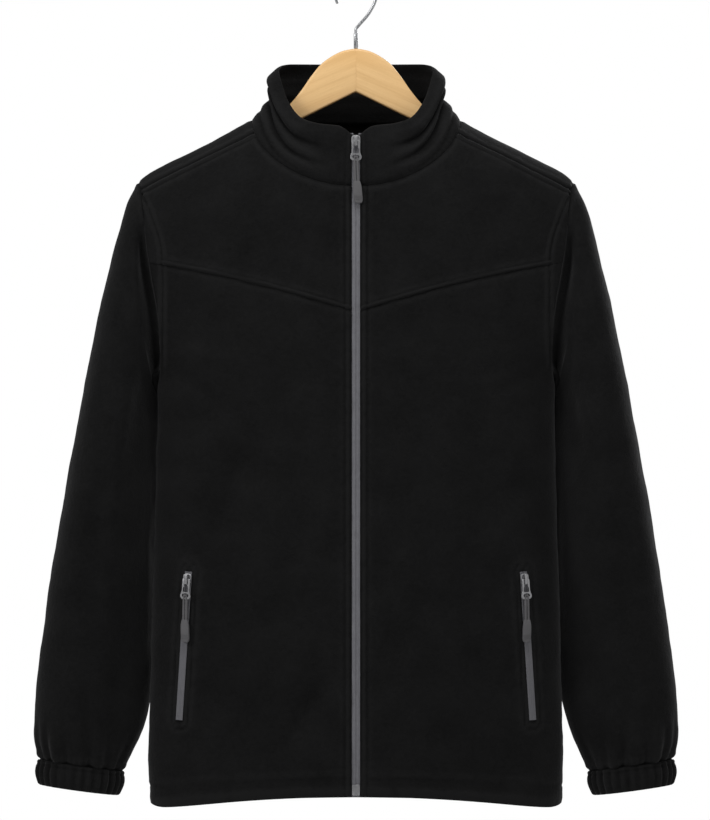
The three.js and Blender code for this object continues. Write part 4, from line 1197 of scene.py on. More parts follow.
def through_rings(rings, rows):
    """Smooth rings at given places between a list of rings."""
    rings = np.array(rings)
    last = len(rings) - 1
    gap = np.linalg.norm(np.diff(rings, axis=0), axis=-1).mean(axis=1)
    gap = np.maximum(gap, 1.0)
    rate = np.diff(rings, axis=0) / gap[:, None, None]
    slope = np.empty_like(rings)
    slope[0], slope[-1] = rate[0], rate[-1]
    before, after = gap[:-1, None, None], gap[1:, None, None]
    slope[1:-1] = (rate[:-1] * after + rate[1:] * before) / (before + after)
    cell = np.clip(rows.astype(int), 0, last - 1)
    t = (rows - cell)[:, None, None]
    span = gap[cell][:, None, None]
    rise = t * t * (3 - 2 * t)
    start = t * (1 - t) ** 2 * span * slope[cell]
    end = t * t * (1 - t) * span * slope[cell + 1]
    return mix(rings[cell], rings[cell + 1], rise) + start - end


def grid_normals(grid):
    """Normals of a grid of rings, turned away from each ring's middle."""
    around = np.roll(grid, -1, axis=1) - np.roll(grid, 1, axis=1)
    normal = unit(np.cross(around, np.gradient(grid, axis=0)))
    inside = np.sum(normal * (grid - grid.mean(axis=1, keepdims=True)), axis=-1).mean() < 0
    return -normal if inside else normal


def sleeve_folds_out(row, degrees, folds):
    """How far a table of folds moves the sleeve's points out."""
    out = np.zeros(np.broadcast_shapes(row.shape, degrees.shape))
    for first, last, angle, turn, width, height in folds:
        along = (row - first) / (last - first)
        aside = (degrees - angle - turn * along + 180) % 360 - 180
        out += height * np.sin(np.pi * np.clip(along, 0, 1)) * hump(aside, width)
    return out


def armhole_fold_out(from_seam, degrees):
    """The fold where the sleeve drops away beside the armhole, below its top."""
    around = np.minimum(degrees, 360 - degrees)
    share = smooth((around - 38) / 40) * (1 - smooth((around - 148) / 24))
    middle, width, depth = ARMHOLE_FOLD
    return depth * share * hump(from_seam - middle, width) * smooth(2.2 * from_seam / middle)


def sleeve(side, settings):
    """One sleeve, a closed tube from the armhole to its tucked end inside the cuff."""
    count = ARMHOLE_CELLS * 4
    cell = np.arange(count) / 4
    angle = 2 * np.pi * cell / ARMHOLE_CELLS
    seam = armhole_point(cell)
    seam_normal = body_normal(seam)
    beneath = (1 - np.cos(angle))[:, None] / 2
    lower = [ring_at(section, angle) for section in SLEEVE_SECTIONS]
    turned = mix(seam, lower[0], 0.16 * (1 - beneath))
    falling = mix(turned, lower[0], 0.5)
    even_rows = np.arange(1, 3, 0.25), np.arange(3, 15, 1 / 14)
    rows = np.concatenate((SLEEVE_FIRST_ROWS, *even_rows, SLEEVE_LAST_ROWS))
    grid = through_rings([seam, turned, falling, *lower], rows)
    apart = unit(np.concatenate((1 - beneath, 0 * beneath, beneath), axis=1))
    grid[0] += apart * 2 * SEAM_INSET * (1 + beneath)
    share = smooth(rows / 2)[:, None, None]
    normal = unit(mix(seam_normal[None], grid_normals(grid), share))
    row = (rows - 2)[:, None]
    degrees = np.degrees(angle)[None, :]
    fold = sleeve_folds_out(row, degrees, SLEEVE_FOLDS)
    fold = fold + settings.crease_share * sleeve_folds_out(row, degrees, SLEEVE_CREASES)
    from_seam = grid_lengths(grid, 0)
    to_cuff = from_seam[-1:] - from_seam - SLEEVE_TUCK
    fold = fold + armhole_fold_out(from_seam, degrees)
    settled = grid + normal * fold[..., None]
    along = degrees * 2.4
    uneven = wander(grid, *SLEEVE_WANDER, 11 + side) + wander(grid, *SMALL_WANDER, 14)
    uneven = uneven * smooth(from_seam / 12) * smooth(to_cuff / 10)
    raised = seam_edge("sleeve", from_seam, along)
    raised = raised + valley(to_cuff, 0.8) + 0.8 * pucker(along * 1.3, 0.8) * hump(to_cuff - 5, 4)
    outer = settled + normal * (raised + uneven)[..., None]
    inner = settled - normal * CLOTH
    if side < 0:
        outer, inner = mirrored(outer), mirrored(inner)
    # Painted light and shade from the seam's edge, the cloth's unevenness and the folds
    painted_relief_shade = raised + 0.25 * uneven + 2 * FOLD_SHADE * fold
    return wall_piece("jacket_sleeve_" + side_name(side), outer, inner, painted_relief_shade, ring=True)


def cuff(side, settings):
    """One gathered cuff, a closed band with rounded edges."""
    count = CUFF_GATHERS * POINTS_PER_GATHER
    angle = 2 * np.pi * np.arange(count) / count
    rings = [ring_at(section, angle) for section in CUFF_SECTIONS]
    rows = np.concatenate(((0, 0.03, 0.08, 0.15), np.linspace(0.25, 1.75, 13), (1.85, 1.92, 1.97, 2)))
    grid = through_rings(rings, rows)
    middle = grid.mean(axis=1, keepdims=True)
    away = unit(grid - middle)
    t = (rows / 2)[:, None]
    wave = np.cos(CUFF_GATHERS * angle)[None, :]
    uneven = 0.7 + 0.2 * np.sin(angle * 3 + 0.7)[None, :] + 0.15 * np.sin(angle * 8 + 1.1)[None, :]
    gathers = settings.cuff_rib * uneven * (0.4 + 0.6 * np.sin(np.pi * t) ** 0.7) * wave
    edge = np.minimum(rows, 2 - rows)[:, None] * 13
    round_off = CUFF_WALL / 2 * (1 - np.sqrt(1 - np.clip(1 - edge / 2.0, 0, 0.95) ** 2))
    round_off = np.where(t < 0.5, 0.5, 1) * round_off
    stitch_row = -0.8 * hump(t - 0.16, 0.035) + 0.5 * hump(t - 0.08, 0.04)
    outer = grid + away * (gathers + stitch_row - round_off)[..., None]
    inner = grid - away * (CUFF_WALL - 0.8 * round_off)[..., None]
    if side < 0:
        outer, inner = mirrored(outer), mirrored(inner)
    # Painted light on the gathers' tops and painted shade between them and in the row of stitching
    painted_relief_shade = 0.6 * gathers + stitch_row
    return wall_piece("jacket_cuff_" + side_name(side), outer, inner, painted_relief_shade, ring=True)


# Zips

def pocket_line(side, t):
    x = side * mix(POCKET_TOP[0], POCKET_BOTTOM[0], np.asarray(t, dtype=float))
    return body_point(x, mix(POCKET_TOP[1], POCKET_BOTTOM[1], np.asarray(t, dtype=float)), -1)


def pocket_welt(distance, along):
    """The front's raised edge and stitching round a pocket's zip."""
    swell = 0.9 * pucker(along, 0.25) * hump(distance - 6.3, 1.7)
    stitch = -0.7 * hump(distance - 9.4, 1.1)
    beyond = 0.4 * pucker(along + 9) * hump(distance - 13, 3)
    return swell + stitch + beyond - 0.5 * hump(distance, 4.2)


def zip_middle():
    """The front zip's middle line, up the front and the collar's edge."""
    heights = np.concatenate(
        (
            [HEM_SIDE],
            np.linspace(HEM_STITCH, ARMPIT, SIDE_CELLS),
            armhole_point(np.arange(ARMPIT_CELL - 1, YOKE_CELL - 1, -1))[:, 2],
        )
    )
    share = (heights - HEM_SIDE) / (heights[-1] - HEM_SIDE)
    base = neck_point(NECK_ZIP_ANGLE)
    yoke = np.linspace(YOKE_AT_ZIP, base[2], YOKE_CELL - SEAM_CELL + 1)
    body = body_point(0, np.concatenate((mix(HEM_FRONT, YOKE_AT_ZIP, share)[:-1], yoke)), -1)
    rise = np.linspace(0, 1, COLLAR_ROWS + 1)
    rim = collar_columns(base[None], np.array([NECK_ZIP_ANGLE]), rise)[1:, 0]
    rim[:, 0] = 0
    rim[-1, 2] += 2
    return np.concatenate((body, rim))


def on_zip_line(heights):
    line = zip_middle()
    return points(0, np.interp(heights, line[:, 2], line[:, 1]), heights)


def zip_place(upper, lower, outward):
    """A place on a zip: X across it, Y into the cloth and Z up along it."""
    up = unit(upper - lower)
    out = unit(outward - up * np.dot(outward, up))
    across = np.cross(-out, up)
    place = np.eye(4)
    place[:3, :3] = np.stack((across, -out, up), axis=-1)
    place[:3, 3] = upper
    return place


def front_zip_place(upper, lower):
    ends = on_zip_line(np.array((upper, lower))) + np.array((0, COIL_SINK - SLIDER_LIFT, 0))
    return zip_place(ends[0], ends[1], np.array((0.0, -1.0, 0.0)))


def pocket_zip_place(side):
    length = POCKET_BOTTOM[1] - POCKET_TOP[1]
    heights = np.array((PULL_ON_POCKET, PULL_ON_POCKET + TIP_BOTTOM))
    p = pocket_line(side, (heights - POCKET_TOP[1]) / length)
    normal = body_normal(p)
    p = p + normal * (fold_at(p) + POCKET_LIFT + POCKET_THICKNESS)[:, None]
    return zip_place(p[0], p[1], normal[0])


def rib(along, across, half_width, pitch, offset):
    """The rows of a coil under its tape, rising towards the zip's middle."""
    row = 0.5 + 0.5 * np.cos(2 * np.pi * (along / pitch + offset))
    return row * smooth((half_width - across) / 0.9)


def zip_half(side, settings):
    """One half of the front zip: a ribbed coil in the opening and the tape behind its edge."""
    line = zip_middle()
    heights = np.arange(line[0, 2], line[-1, 2], settings.coil_pitch / 4)
    middle = on_zip_line(np.append(heights, line[-1, 2]))
    edge = ZIP_EDGE - CLEARANCE
    behind = DOUBLED + CLEARANCE
    x = np.array((TAPE_SPLIT, 0.4, 0.9, 1.6, 2.3, 2.8, 3.1, 3.5, 4.0, edge))
    face = COIL_SINK + 0.18 * smooth((x - 2.4) / 0.8) + 0.22 * hump(x - TAPE_SPLIT, 0.3)
    face = face + 0.12 * hump(x - 3.15, 0.25)
    back_x = np.array((edge, 8.0, TAPE_HALF_WIDTH, TAPE_HALF_WIDTH, 6.0, TAPE_SPLIT))
    back_depth = np.array((behind,) * 3 + (behind + TAPE_THICKNESS,) * 3)
    section_x = np.concatenate((x, back_x))
    section = np.concatenate((face, back_depth))
    ribs = rib(middle[:, 2:], x[None, :], COIL_HALF_WIDTH, settings.coil_pitch, 0.25 * side)
    depth = np.broadcast_to(section, (len(middle), len(section))).copy()
    depth[:, : len(x)] -= 0.28 * ribs - 0.14
    parted = TAPE_SPLIT + TOP_SPREAD * smooth((middle[:, 2:] - middle[-1, 2] + 3.5) / 3.0)
    rings = points(side * np.maximum(section_x[None, :], parted), middle[:, 1:2] + depth, middle[:, 2:])
    return bar_piece("zip_half_" + side_name(side), rings)


def bar_piece(name, rings):
    """A closed bar through rings of points, with flat ends."""
    rows, count = rings.shape[:2]
    number = np.arange(rows * count).reshape(rows, count)
    after = np.roll(number, -1, axis=1)
    quads = np.stack((number[:-1], after[:-1], after[1:], number[1:]), axis=-1).reshape(-1, 4)
    vertices = rings.reshape(-1, 3)
    corners = vertices[quads[:, :3]]
    turned = np.sum(corners[:, 0] * np.cross(corners[:, 1], corners[:, 2])) < 0
    if turned:
        quads = quads[:, ::-1]
    first, last = number[0].tolist(), number[-1].tolist()
    ends = [first, last[::-1]] if turned else [first[::-1], last]
    piece = finish_mesh(name, vertices, quads.tolist() + ends)
    deselect_all()
    choose(piece)
    bpy.ops.object.shade_smooth_by_angle(angle=math.radians(50))
    return piece


def pocket_zip(side, settings):
    """A pocket's zip: a ribbed strip that follows the folds of its front."""
    length = math.hypot(POCKET_BOTTOM[0] - POCKET_TOP[0], POCKET_BOTTOM[1] - POCKET_TOP[1])
    t = np.linspace(0, 1, int(length / settings.coil_pitch * 4))
    middle = pocket_line(side, t)
    down = unit(pocket_line(side, 1.0) - pocket_line(side, 0.0))
    across = unit(np.cross(body_normal(middle), down))
    share = np.concatenate((-np.array(POCKET_STEPS[:0:-1]), POCKET_STEPS))
    grid = middle[:, None] + across[:, None] * (share * POCKET_HALF_WIDTH)[None, :, None]
    grid = onto_body(grid)
    normal = body_normal(grid)
    fold = fold_at(grid)
    aside = np.abs(share) * POCKET_HALF_WIDTH
    turn = 0.25 * np.sign(share)[None, :]
    ribs = rib(t[:, None] * length, aside[None, :], POCKET_COIL_HALF_WIDTH, settings.coil_pitch, turn)
    shape = 0.24 * ribs - 0.15 - 0.2 * hump(aside, 0.35) - 0.25 * smooth((aside - 3.5) / 0.5)
    parted = smooth(1.4 * (1 - t[:, None] * length / POCKET_SPLIT)) * hump(aside, 1.4)[None, :]
    shape = shape - 0.65 * parted
    outer = grid + normal * (fold + POCKET_LIFT + POCKET_THICKNESS + shape)[..., None]
    inner = grid + normal * (fold + POCKET_LIFT)[..., None]
    # Painted shade on the tape, deeper at its edges and where its halves part, as if in the welt's shadow
    shade = POCKET_SHADE - 0.5 * smooth((aside[None, :] - 3.2) / 0.8) - 0.6 * parted + 0 * t[:, None]
    return wall_piece("pocket_zip_piece_" + side_name(side), outer, inner, shade)


# Hard pieces

def deselect_all():
    if bpy.context.object and bpy.context.object.mode != "OBJECT":
        bpy.ops.object.mode_set(mode="OBJECT")
    bpy.ops.object.select_all(action="DESELECT")


def choose(*pieces):
    for piece in pieces:
        piece.select_set(True)
    bpy.context.view_layer.objects.active = pieces[0]


def apply_modifier(piece, kind, **settings):
    """Adds a modifier with its settings to a piece, and applies it."""
    deselect_all()
    choose(piece)
    modifier = piece.modifiers.new(kind.title(), kind)
    for key, value in settings.items():
        setattr(modifier, key, value)
    bpy.ops.object.modifier_apply(modifier=modifier.name)


def bevel_edges(piece, width, segments):
    """Rounds a piece's sharp edges by a width in millimetres."""
    sharp = math.radians(40)
    apply_modifier(
        piece, "BEVEL", width=width * MM, segments=segments, limit_method="ANGLE", angle_limit=sharp
    )


def plate(name, outline, near, thickness, bevel, along="Y", segments=3):
    """A bevelled plate from an outline in millimetres, from its near face outwards.

    The outline is across and up, or, along X, inward and up.
    """
    deselect_all()
    bpy.ops.mesh.primitive_circle_add(vertices=len(outline), radius=MM, fill_type="NGON")
    piece = bpy.context.object
    piece.name = piece.data.name = name
    for vertex, (a, z) in zip(piece.data.vertices, outline):
        vertex.co = (a * MM, near * MM, z * MM) if along == "Y" else (near * MM, a * MM, z * MM)
    piece.data.update()
    bpy.ops.object.mode_set(mode="EDIT")
    bpy.ops.mesh.select_all(action="SELECT")
    push = (0, -thickness * MM, 0) if along == "Y" else (thickness * MM, 0, 0)
    bpy.ops.mesh.extrude_region_move(TRANSFORM_OT_translate={"value": push})
    bpy.ops.mesh.select_all(action="SELECT")
    bpy.ops.mesh.normals_make_consistent(inside=False)
    bpy.ops.object.mode_set(mode="OBJECT")
    if bevel:
        bevel_edges(piece, bevel, segments)
    return piece


def cut(piece, *cutters):
    """Cuts other solids out of a piece."""
    for cutter in cutters:
        apply_modifier(piece, "BOOLEAN", operation="DIFFERENCE", solver="EXACT", object=cutter)
        bpy.data.objects.remove(cutter)
    return piece


def join(name, *pieces):
    """One piece out of several, with its place in its mesh."""
    deselect_all()
    choose(*pieces)
    if len(pieces) > 1:
        bpy.ops.object.join()
    piece = bpy.context.object
    piece.name = piece.data.name = name
    bpy.ops.object.transform_apply(location=True, rotation=True, scale=True)
    bpy.ops.object.shade_smooth_by_angle(angle=math.radians(35))
    return piece


def put(piece, place):
    """Moves a piece's mesh from its own measure to a place on a zip."""
    matrix = Matrix(place.tolist())
    matrix.translation = matrix.translation * MM
    piece.data.transform(matrix)
    piece.data.update()
    return piece


def copy_of(piece, name):
    other = piece.copy()
    other.data = piece.data.copy()
    other.name = other.data.name = name
    bpy.context.scene.collection.objects.link(other)
    return other


def both_sides(half):
    return list(half) + [(-a, z) for a, z in reversed(half)]


def upright(half, low, high):
    """A rectangle's outline between two heights."""
    return [(half, low), (half, high), (-half, high), (-half, low)]


def arc(middle, radii, start, end, steps):
    angles = np.radians(np.linspace(start, end, steps))
    return [(middle[0] + radii[0] * math.cos(a), middle[1] + radii[1] * math.sin(a)) for a in angles]


def slider(name):
    """A zip's slider: its shield, dished to leave a raised rim, and the bridge over it."""
    half = SLIDER_WIDTH / 2
    shield_half = (
        (0.8, SLIDER_TOP),
        (2.2, SLIDER_TOP - 0.15),
        (half - 0.4, 0.84 * SLIDER_TOP),
        (half, 0.6 * SLIDER_TOP),
        (half, 0.2 * SLIDER_BOTTOM),
        (half - 0.25, 0.6 * SLIDER_BOTTOM),
        (0.78 * half, SLIDER_BOTTOM),
    )
    shield = plate(name, both_sides(shield_half), -CLEARANCE, SLIDER_PLATE, 0.35)
    dish = [(0.72 * a, 0.72 * z + 0.1) for a, z in both_sides(shield_half)]
    shield = cut(shield, plate("dish", dish, -CLEARANCE - SLIDER_PLATE + 0.35, 1.0, 0))
    face = -CLEARANCE - SLIDER_PLATE
    hole_far = face - 2 * BRIDGE_HOLE
    top = hole_far - BRIDGE_BEAM
    arch = []
    for end, way in ((BRIDGE_TOP, 1), (BRIDGE_BOTTOM, -1)):
        turn = [(top + 0.9 - 0.9 * math.sin(a), end - way * 0.9 * (1 - math.cos(a)))
                for a in np.linspace(0, math.pi / 2, 5)]
        arch += ([(-2 * CLEARANCE, end), *turn])[::way]
    bridge = plate("bridge", arch, -BRIDGE_WIDTH / 2, BRIDGE_WIDTH, 0.3, along="X")
    reach = BRIDGE_HOLE + 0.2
    eye = [(face, -reach), (face, reach), (hole_far + 0.5, reach), (hole_far, reach - 0.5),
           (hole_far, 0.5 - reach), (hole_far + 0.5, -reach)]
    bridge = cut(bridge, plate("eye", eye, -BRIDGE_WIDTH, 2 * BRIDGE_WIDTH, 0, along="X"))
    return join(name, shield, bridge)


def tab(name):
    """A pull tab: two rails, a slot between them that the bridge stands in and an eye below."""
    half, flare = TAB_WIDTH / 2, TAB_FLARE / 2
    rim_half = (
        (half - 0.9, TAB_BAR),
        (half - 0.2, TAB_BAR - 0.7),
        (half, -2),
        (half, -10.5),
        (half + 0.15, -12.6),
        (half + 0.6, -14.2),
        (flare - 0.4, -16),
        (flare, -17.6),
        (flare - 0.3, -19.1),
        (flare - 1.3, -20.4),
        (flare - 2.8, 0.4 - TAB_LENGTH),
        (flare - 4.6, -TAB_LENGTH),
    )
    near = TAB_THICKNESS / 2 - AXIS_OUT
    rim = plate(name, both_sides(rim_half), near, TAB_THICKNESS, 0.3)
    slot = (
        (1.8, -TAB_BAR),
        (2.1, -TAB_BAR - 0.3),
        (2.1, -7.4),
        (2.9, -8.6),
        (3.1, -9.4),
        (3.1, -13),
        (2.6, -13.7),
    )
    eye = arc((0, EYE_MIDDLE), (EYE_HALF_WIDTH, EYE_HALF_HEIGHT), 0, 345, 24)
    return join(
        name,
        cut(
            rim,
            plate("slot", both_sides(slot), near + 1, TAB_THICKNESS + 2, 0),
            plate("eye", eye, near + 1, TAB_THICKNESS + 2, 0),
        ),
    )


def cord_tube(name, side):
    """One leg of the pull's doubled cord, with the turns of its braid."""
    turns = np.arange(TIP_TOP - 3, CORD_TOP, 0.35)[::-1]
    around = np.linspace(0, 2 * np.pi, 17)[:-1]
    radius = CORD_WIDTH / 2 - 0.02
    top = smooth((CORD_TOP - turns + 0.3) / 3.2)
    middle = side * mix(0.62, 1.0, top) * radius
    thick = mix(0.78, 0.97, top)
    weave = 0.07 * np.cos(around[None, :] * 4 + turns[:, None] * 4.2 * side)
    size = (radius + weave - 0.05) * np.ones_like(turns)[:, None]
    x = middle[:, None] + size * np.cos(around) * mix(0.7, 1.0, top)[:, None]
    y = -AXIS_OUT - size * np.sin(around) * thick[:, None] * 0.93
    return bar_piece(name, points(x, y, turns[:, None]))


def puller(name):
    """The cord through a tab's eye and the soft grip moulded over its ends."""
    half = TIP_WIDTH / 2
    grip_half = (
        (2.9, TIP_TOP),
        (3.5, TIP_TOP - 0.7),
        (half - 0.25, TIP_TOP - 5),
        (half, TIP_TOP - 8),
        (half, TIP_BOTTOM + 4.5),
        (half - 0.5, TIP_BOTTOM + 1.8),
        (half - 1.5, TIP_BOTTOM + 0.3),
        (half - 2.8, TIP_BOTTOM),
    )
    near = TIP_THICKNESS / 2 - AXIS_OUT
    grip = plate(name, both_sides(grip_half), near, TIP_THICKNESS, 1.1, segments=4)
    front = near - TIP_THICKNESS
    for rise in TIP_GROOVES:
        z = TIP_BOTTOM + rise
        cut(grip, plate("groove", upright(9, z, z + 0.7), front + 0.35, 2, 0))
    tab_near = TAB_THICKNESS / 2 - AXIS_OUT
    eye_fill = upright(1.5, EYE_MIDDLE - 0.85, EYE_MIDDLE + 0.85)
    loop = plate("loop", eye_fill, tab_near + 0.35, TAB_THICKNESS + 0.7, 0.3)
    around_tab = upright(8, -TAB_LENGTH - 0.5, 0)
    slot = plate("slot", around_tab, tab_near + CLEARANCE, TAB_THICKNESS + 2 * CLEARANCE, 0)
    cords = join("cords", cord_tube("cord_a", -1), cord_tube("cord_b", 1))
    cut(cords, slot)
    return join(name, grip, cords, loop)


def lean(piece, across):
    """Lets a pull hang aside by an amount at its tip."""
    for vertex in piece.data.vertices:
        drop = max(0.0, (CORD_TOP * MM - vertex.co.z) / ((CORD_TOP - TIP_BOTTOM) * MM))
        vertex.co.x += across * MM * drop**LEAN_BEND
    piece.data.update()
    return piece


def zip_box(name):
    """The retaining box at the foot of the front zip, with a groove beside its pin."""
    height = BOX_TOP - BOX_BOTTOM
    half = [(2.6, 0), (3.6, -0.25), (4.2, -1.0), (4.2, 1.2 - height), (3.7, 0.3 - height), (3.0, -height)]
    box = plate(name, both_sides(half), -CLEARANCE, SLIDER_PLATE, 0.35)
    face = -CLEARANCE - SLIDER_PLATE
    groove = plate("groove", upright(0.25, 1 - height, 1), face + BOX_GROOVE, 2, 0)
    dent = plate("dent", upright(3, -BOX_DENT - 0.4, 0.4 - BOX_DENT), face + 0.3, 2, 0)
    return join(name, cut(box, groove, dent))


# Hanger

def ridge_height(x):
    """The height of the shoulder's ridge at a distance from the middle."""
    z = np.linspace(NECK_SIDE + 20, SHOULDER_TIP, 800)
    return np.interp(x, half_width_at(z), z)


def smooth_line(line, per_cell):
    """A smooth line through points in a plane."""
    rings = [np.array([[a, 0.0, z]]) for a, z in line]
    rows = np.linspace(0, len(line) - 1, (len(line) - 1) * per_cell + 1)
    curved = through_rings(rings, rows)[:, 0]
    return [(float(a), float(z)) for a, _, z in curved]


def hanger_wood(name, settings):
    """The wooden hanger: two arms whose grain runs down them and meets in the middle."""
    arm = [(x, float(ridge_height(x)) - ARM_SINK) for x in np.linspace(112, ARM_END - 6, 6)]
    top = smooth_line(list(WOOD_NECK) + arm, 4)
    end_top = float(ridge_height(ARM_END)) - ARM_SINK
    fall = (end_top - ARM_DEPTH + 2 - WOOD_APEX) / ARM_END
    end = [
        (ARM_END - 1.2, end_top - 1.8), (ARM_END, end_top - 5), (ARM_END, end_top - ARM_DEPTH + 6),
        (ARM_END - 1.4, end_top - ARM_DEPTH + 3.2), (ARM_END - 5, WOOD_APEX + fall * (ARM_END - 5)),
    ]
    right = top + end
    outline = right + [(0, WOOD_APEX)] + [(-x, z) for x, z in reversed(right)]
    wood = plate(name, outline, WOOD_THICKNESS / 2, WOOD_THICKNESS, settings.wood_round, segments=4)
    half = WOOD_THICKNESS / 2
    joint = upright(WOOD_JOINT / 2, WOOD_APEX - 4, WOOD_TOP + 4)
    cut(wood, plate("joint", joint, half + 1, 1.5, 0), plate("joint", joint, 0.5 - half, 1.5, 0))
    return join(name, wood)


def hanger_hook(name):
    """The bent wire hook, its ball end and the ferrule that it is screwed in through."""
    middle = WIRE - HOOK_RADIUS
    bow = arc((0, middle), (HOOK_RADIUS, HOOK_RADIUS), -22, 203, 16)
    line = smooth_line(list(HOOK_BEND) + bow, 5)
    curve = bpy.data.curves.new(name, "CURVE")
    curve.dimensions = "3D"
    curve.bevel_depth = WIRE * MM
    curve.bevel_resolution = 6
    curve.use_fill_caps = True
    spline = curve.splines.new("POLY")
    spline.points.add(len(line) - 1)
    for point, (x, z) in zip(spline.points, line):
        point.co = (x * MM, 0, z * MM, 1)
    wire = bpy.data.objects.new(name, curve)
    bpy.context.scene.collection.objects.link(wire)
    deselect_all()
    choose(wire)
    bpy.ops.object.convert(target="MESH")
    wire = bpy.context.object
    end_x, end_z = line[-1]
    deselect_all()
    bpy.ops.mesh.primitive_uv_sphere_add(
        segments=20, ring_count=12, radius=WIRE * BALL_SHARE * MM, location=(end_x * MM, 0, end_z * MM)
    )
    ball = bpy.context.object
    deselect_all()
    low = WOOD_TOP + CLEARANCE
    place = (0, 0, (STEM_TOP + low) / 2 * MM)
    bpy.ops.mesh.primitive_cylinder_add(
        vertices=32, radius=STEM_RADIUS * MM, depth=(STEM_TOP - low) * MM, location=place
    )
    stem = bpy.context.object
    bevel_edges(stem, 0.6, 3)
    return join(name, wire, ball, stem)


# Materials


class Wire:
    """A node's output, or a number, in a shader's maths."""

    def __init__(self, shader, value):
        self.shader = shader
        self.value = value

    def math(self, operation, *others, **settings):
        return self.shader.node("ShaderNodeMath", {"operation": operation, **settings}, (self, *others))

    def __add__(self, other):
        return self.math("ADD", other)

    def __radd__(self, other):
        return self.math("ADD", other)

    def __sub__(self, other):
        return self.math("SUBTRACT", other)

    def __rsub__(self, other):
        return self.shader.node("ShaderNodeMath", {"operation": "SUBTRACT"}, (other, self))

    def __mul__(self, other):
        return self.math("MULTIPLY", other)

    def __rmul__(self, other):
        return self.math("MULTIPLY", other)

    def __pow__(self, other):
        return self.math("POWER", other)

    def sin(self):
        return self.math("SINE")

    def abs(self):
        return self.math("ABSOLUTE")

    def clamp(self):
        return self.math("MULTIPLY", 1.0, use_clamp=True)


class Shader:
    """A material's node tree, with one method that makes any node."""

    def __init__(self, name):
        self.material = bpy.data.materials.new(name)
        self.material.use_nodes = True
        self.tree = self.material.node_tree
        self.tree.nodes.clear()
        self.principled = self.tree.nodes.new("ShaderNodeBsdfPrincipled")
        output = self.tree.nodes.new("ShaderNodeOutputMaterial")
        self.tree.links.new(self.principled.outputs[0], output.inputs[0])

    def node(self, kind, settings, sockets, output=0):
        """A node of a type with its settings, given the values or links of its sockets."""
        made = self.tree.nodes.new(kind)
        for key, value in settings.items():
            setattr(made, key, value)
        pairs = sockets.items() if isinstance(sockets, dict) else enumerate(sockets)
        for key, value in pairs:
            self.feed(made.inputs[key], value)
        return Wire(self, made.outputs[output])

    def feed(self, socket, value):
        if isinstance(value, Wire):
            self.tree.links.new(value.value, socket)
        elif hasattr(value, "__len__") and len(value) == 3 and socket.type == "RGBA":
            socket.default_value = (*value, 1.0)
        else:
            socket.default_value = value

    def set(self, **sockets):
        for key, value in sockets.items():
            self.feed(self.principled.inputs[key.replace("_", " ").title().replace("Ior", "IOR")], value)
        return self

    def place(self, which="Object"):
        return self.node("ShaderNodeTexCoord", {}, {}, which)

    def mapped(self, place, scale=(1, 1, 1), turn=(0, 0, 0), offset=(0, 0, 0)):
        sockets = {"Vector": place, "Scale": scale, "Rotation": turn, "Location": offset}
        return self.node("ShaderNodeMapping", {}, sockets)

    def noise(self, place, size, detail=3.0, roughness=0.5, distortion=0.0):
        """Noise whose features are about a size in millimetres."""
        sockets = {
            "Vector": place,
            "Scale": 1000.0 / size,
            "Detail": detail,
            "Roughness": roughness,
            "Distortion": distortion,
        }
        return self.node("ShaderNodeTexNoise", {}, sockets)

    def parts(self, vector):
        made = self.node("ShaderNodeSeparateXYZ", {}, (vector,))
        return [Wire(self, made.value.node.outputs[k]) for k in range(3)]

    def joined(self, x, y, z):
        return self.node("ShaderNodeCombineXYZ", {}, (x, y, z))

    def between(self, share, low, high):
        """A colour between two colours."""
        made = self.tree.nodes.new("ShaderNodeMix")
        made.data_type = "RGBA"
        self.feed(made.inputs["Factor"], share)
        colours = [s for s in made.inputs if s.type == "RGBA"]
        self.feed(colours[0], low)
        self.feed(colours[1], high)
        result = next(s for s in made.outputs if s.type == "RGBA")
        return Wire(self, result)

    def bump(self, height, strength, distance, normal=None):
        sockets = {"Strength": strength, "Distance": distance * MM, "Height": height}
        if normal is not None:
            sockets["Normal"] = normal
        return self.node("ShaderNodeBump", {}, sockets)


def scaled(colour, share):
    return tuple(share * c for c in colour)


def fleece_material(settings):
    """Brushed fleece: a short uneven nap that catches light along its edges."""
    s = Shader("fleece")
    place = s.place()
    pile = s.noise(s.mapped(place, (0.6, 1, 1.25)), 1.5, 4, 0.62)
    tufts = s.noise(place, 4.2, 3, 0.55, 0.6)
    broad = s.noise(place, 38, 2)
    height = 0.55 * pile + 0.75 * tufts
    # Painted light and shade from the mesh's shade values: lighter on ridges, darker in grooves and folds
    painted_relief_shade = s.node("ShaderNodeAttribute", {"attribute_name": "painted_relief_shade"}, {}, "Fac")
    shade = (0.6 * tufts + 0.4 * pile - 0.5) * 1.5 + 0.5 + (broad - 0.5) * 0.7 + painted_relief_shade * 0.4
    base = tuple(settings.fleece_colour)
    colour = s.between(shade.clamp(), scaled(base, 0.5), scaled(base, 1.5))
    s.set(base_color=colour, roughness=0.97, sheen_weight=settings.fleece_sheen, sheen_roughness=0.42,
          sheen_tint=(0.98, 0.98, 1.0, 1.0), specular_ior_level=0.09)
    s.set(normal=s.bump(height, 0.75, 1.1))
    return s.material


def tape_material(settings):
    """Zip tape: a fine woven grey whose hollows between its ribs are painted a little darker as shade."""
    s = Shader("zip_tape")
    place = s.place()
    x, y, z = s.parts(place)
    weave = (x * 9000.0).sin() * (z * 7400.0).sin()
    soft = s.noise(place, 6, 3)
    # Painted shade from the mesh's shade values darkens the pockets' tape
    painted_relief_shade = s.node("ShaderNodeAttribute", {"attribute_name": "painted_relief_shade"}, {}, "Fac")
    share = (0.5 + 0.22 * weave + (soft - 0.5) * 0.9 + painted_relief_shade * 0.9).clamp()
    base = tuple(settings.tape_colour)
    s.set(base_color=s.between(share, scaled(base, 0.72), scaled(base, 1.22)), roughness=0.62,
          sheen_weight=0.15, sheen_roughness=0.5, specular_ior_level=0.45)
    s.set(normal=s.bump(weave, 0.35, 0.12))
    return s.material


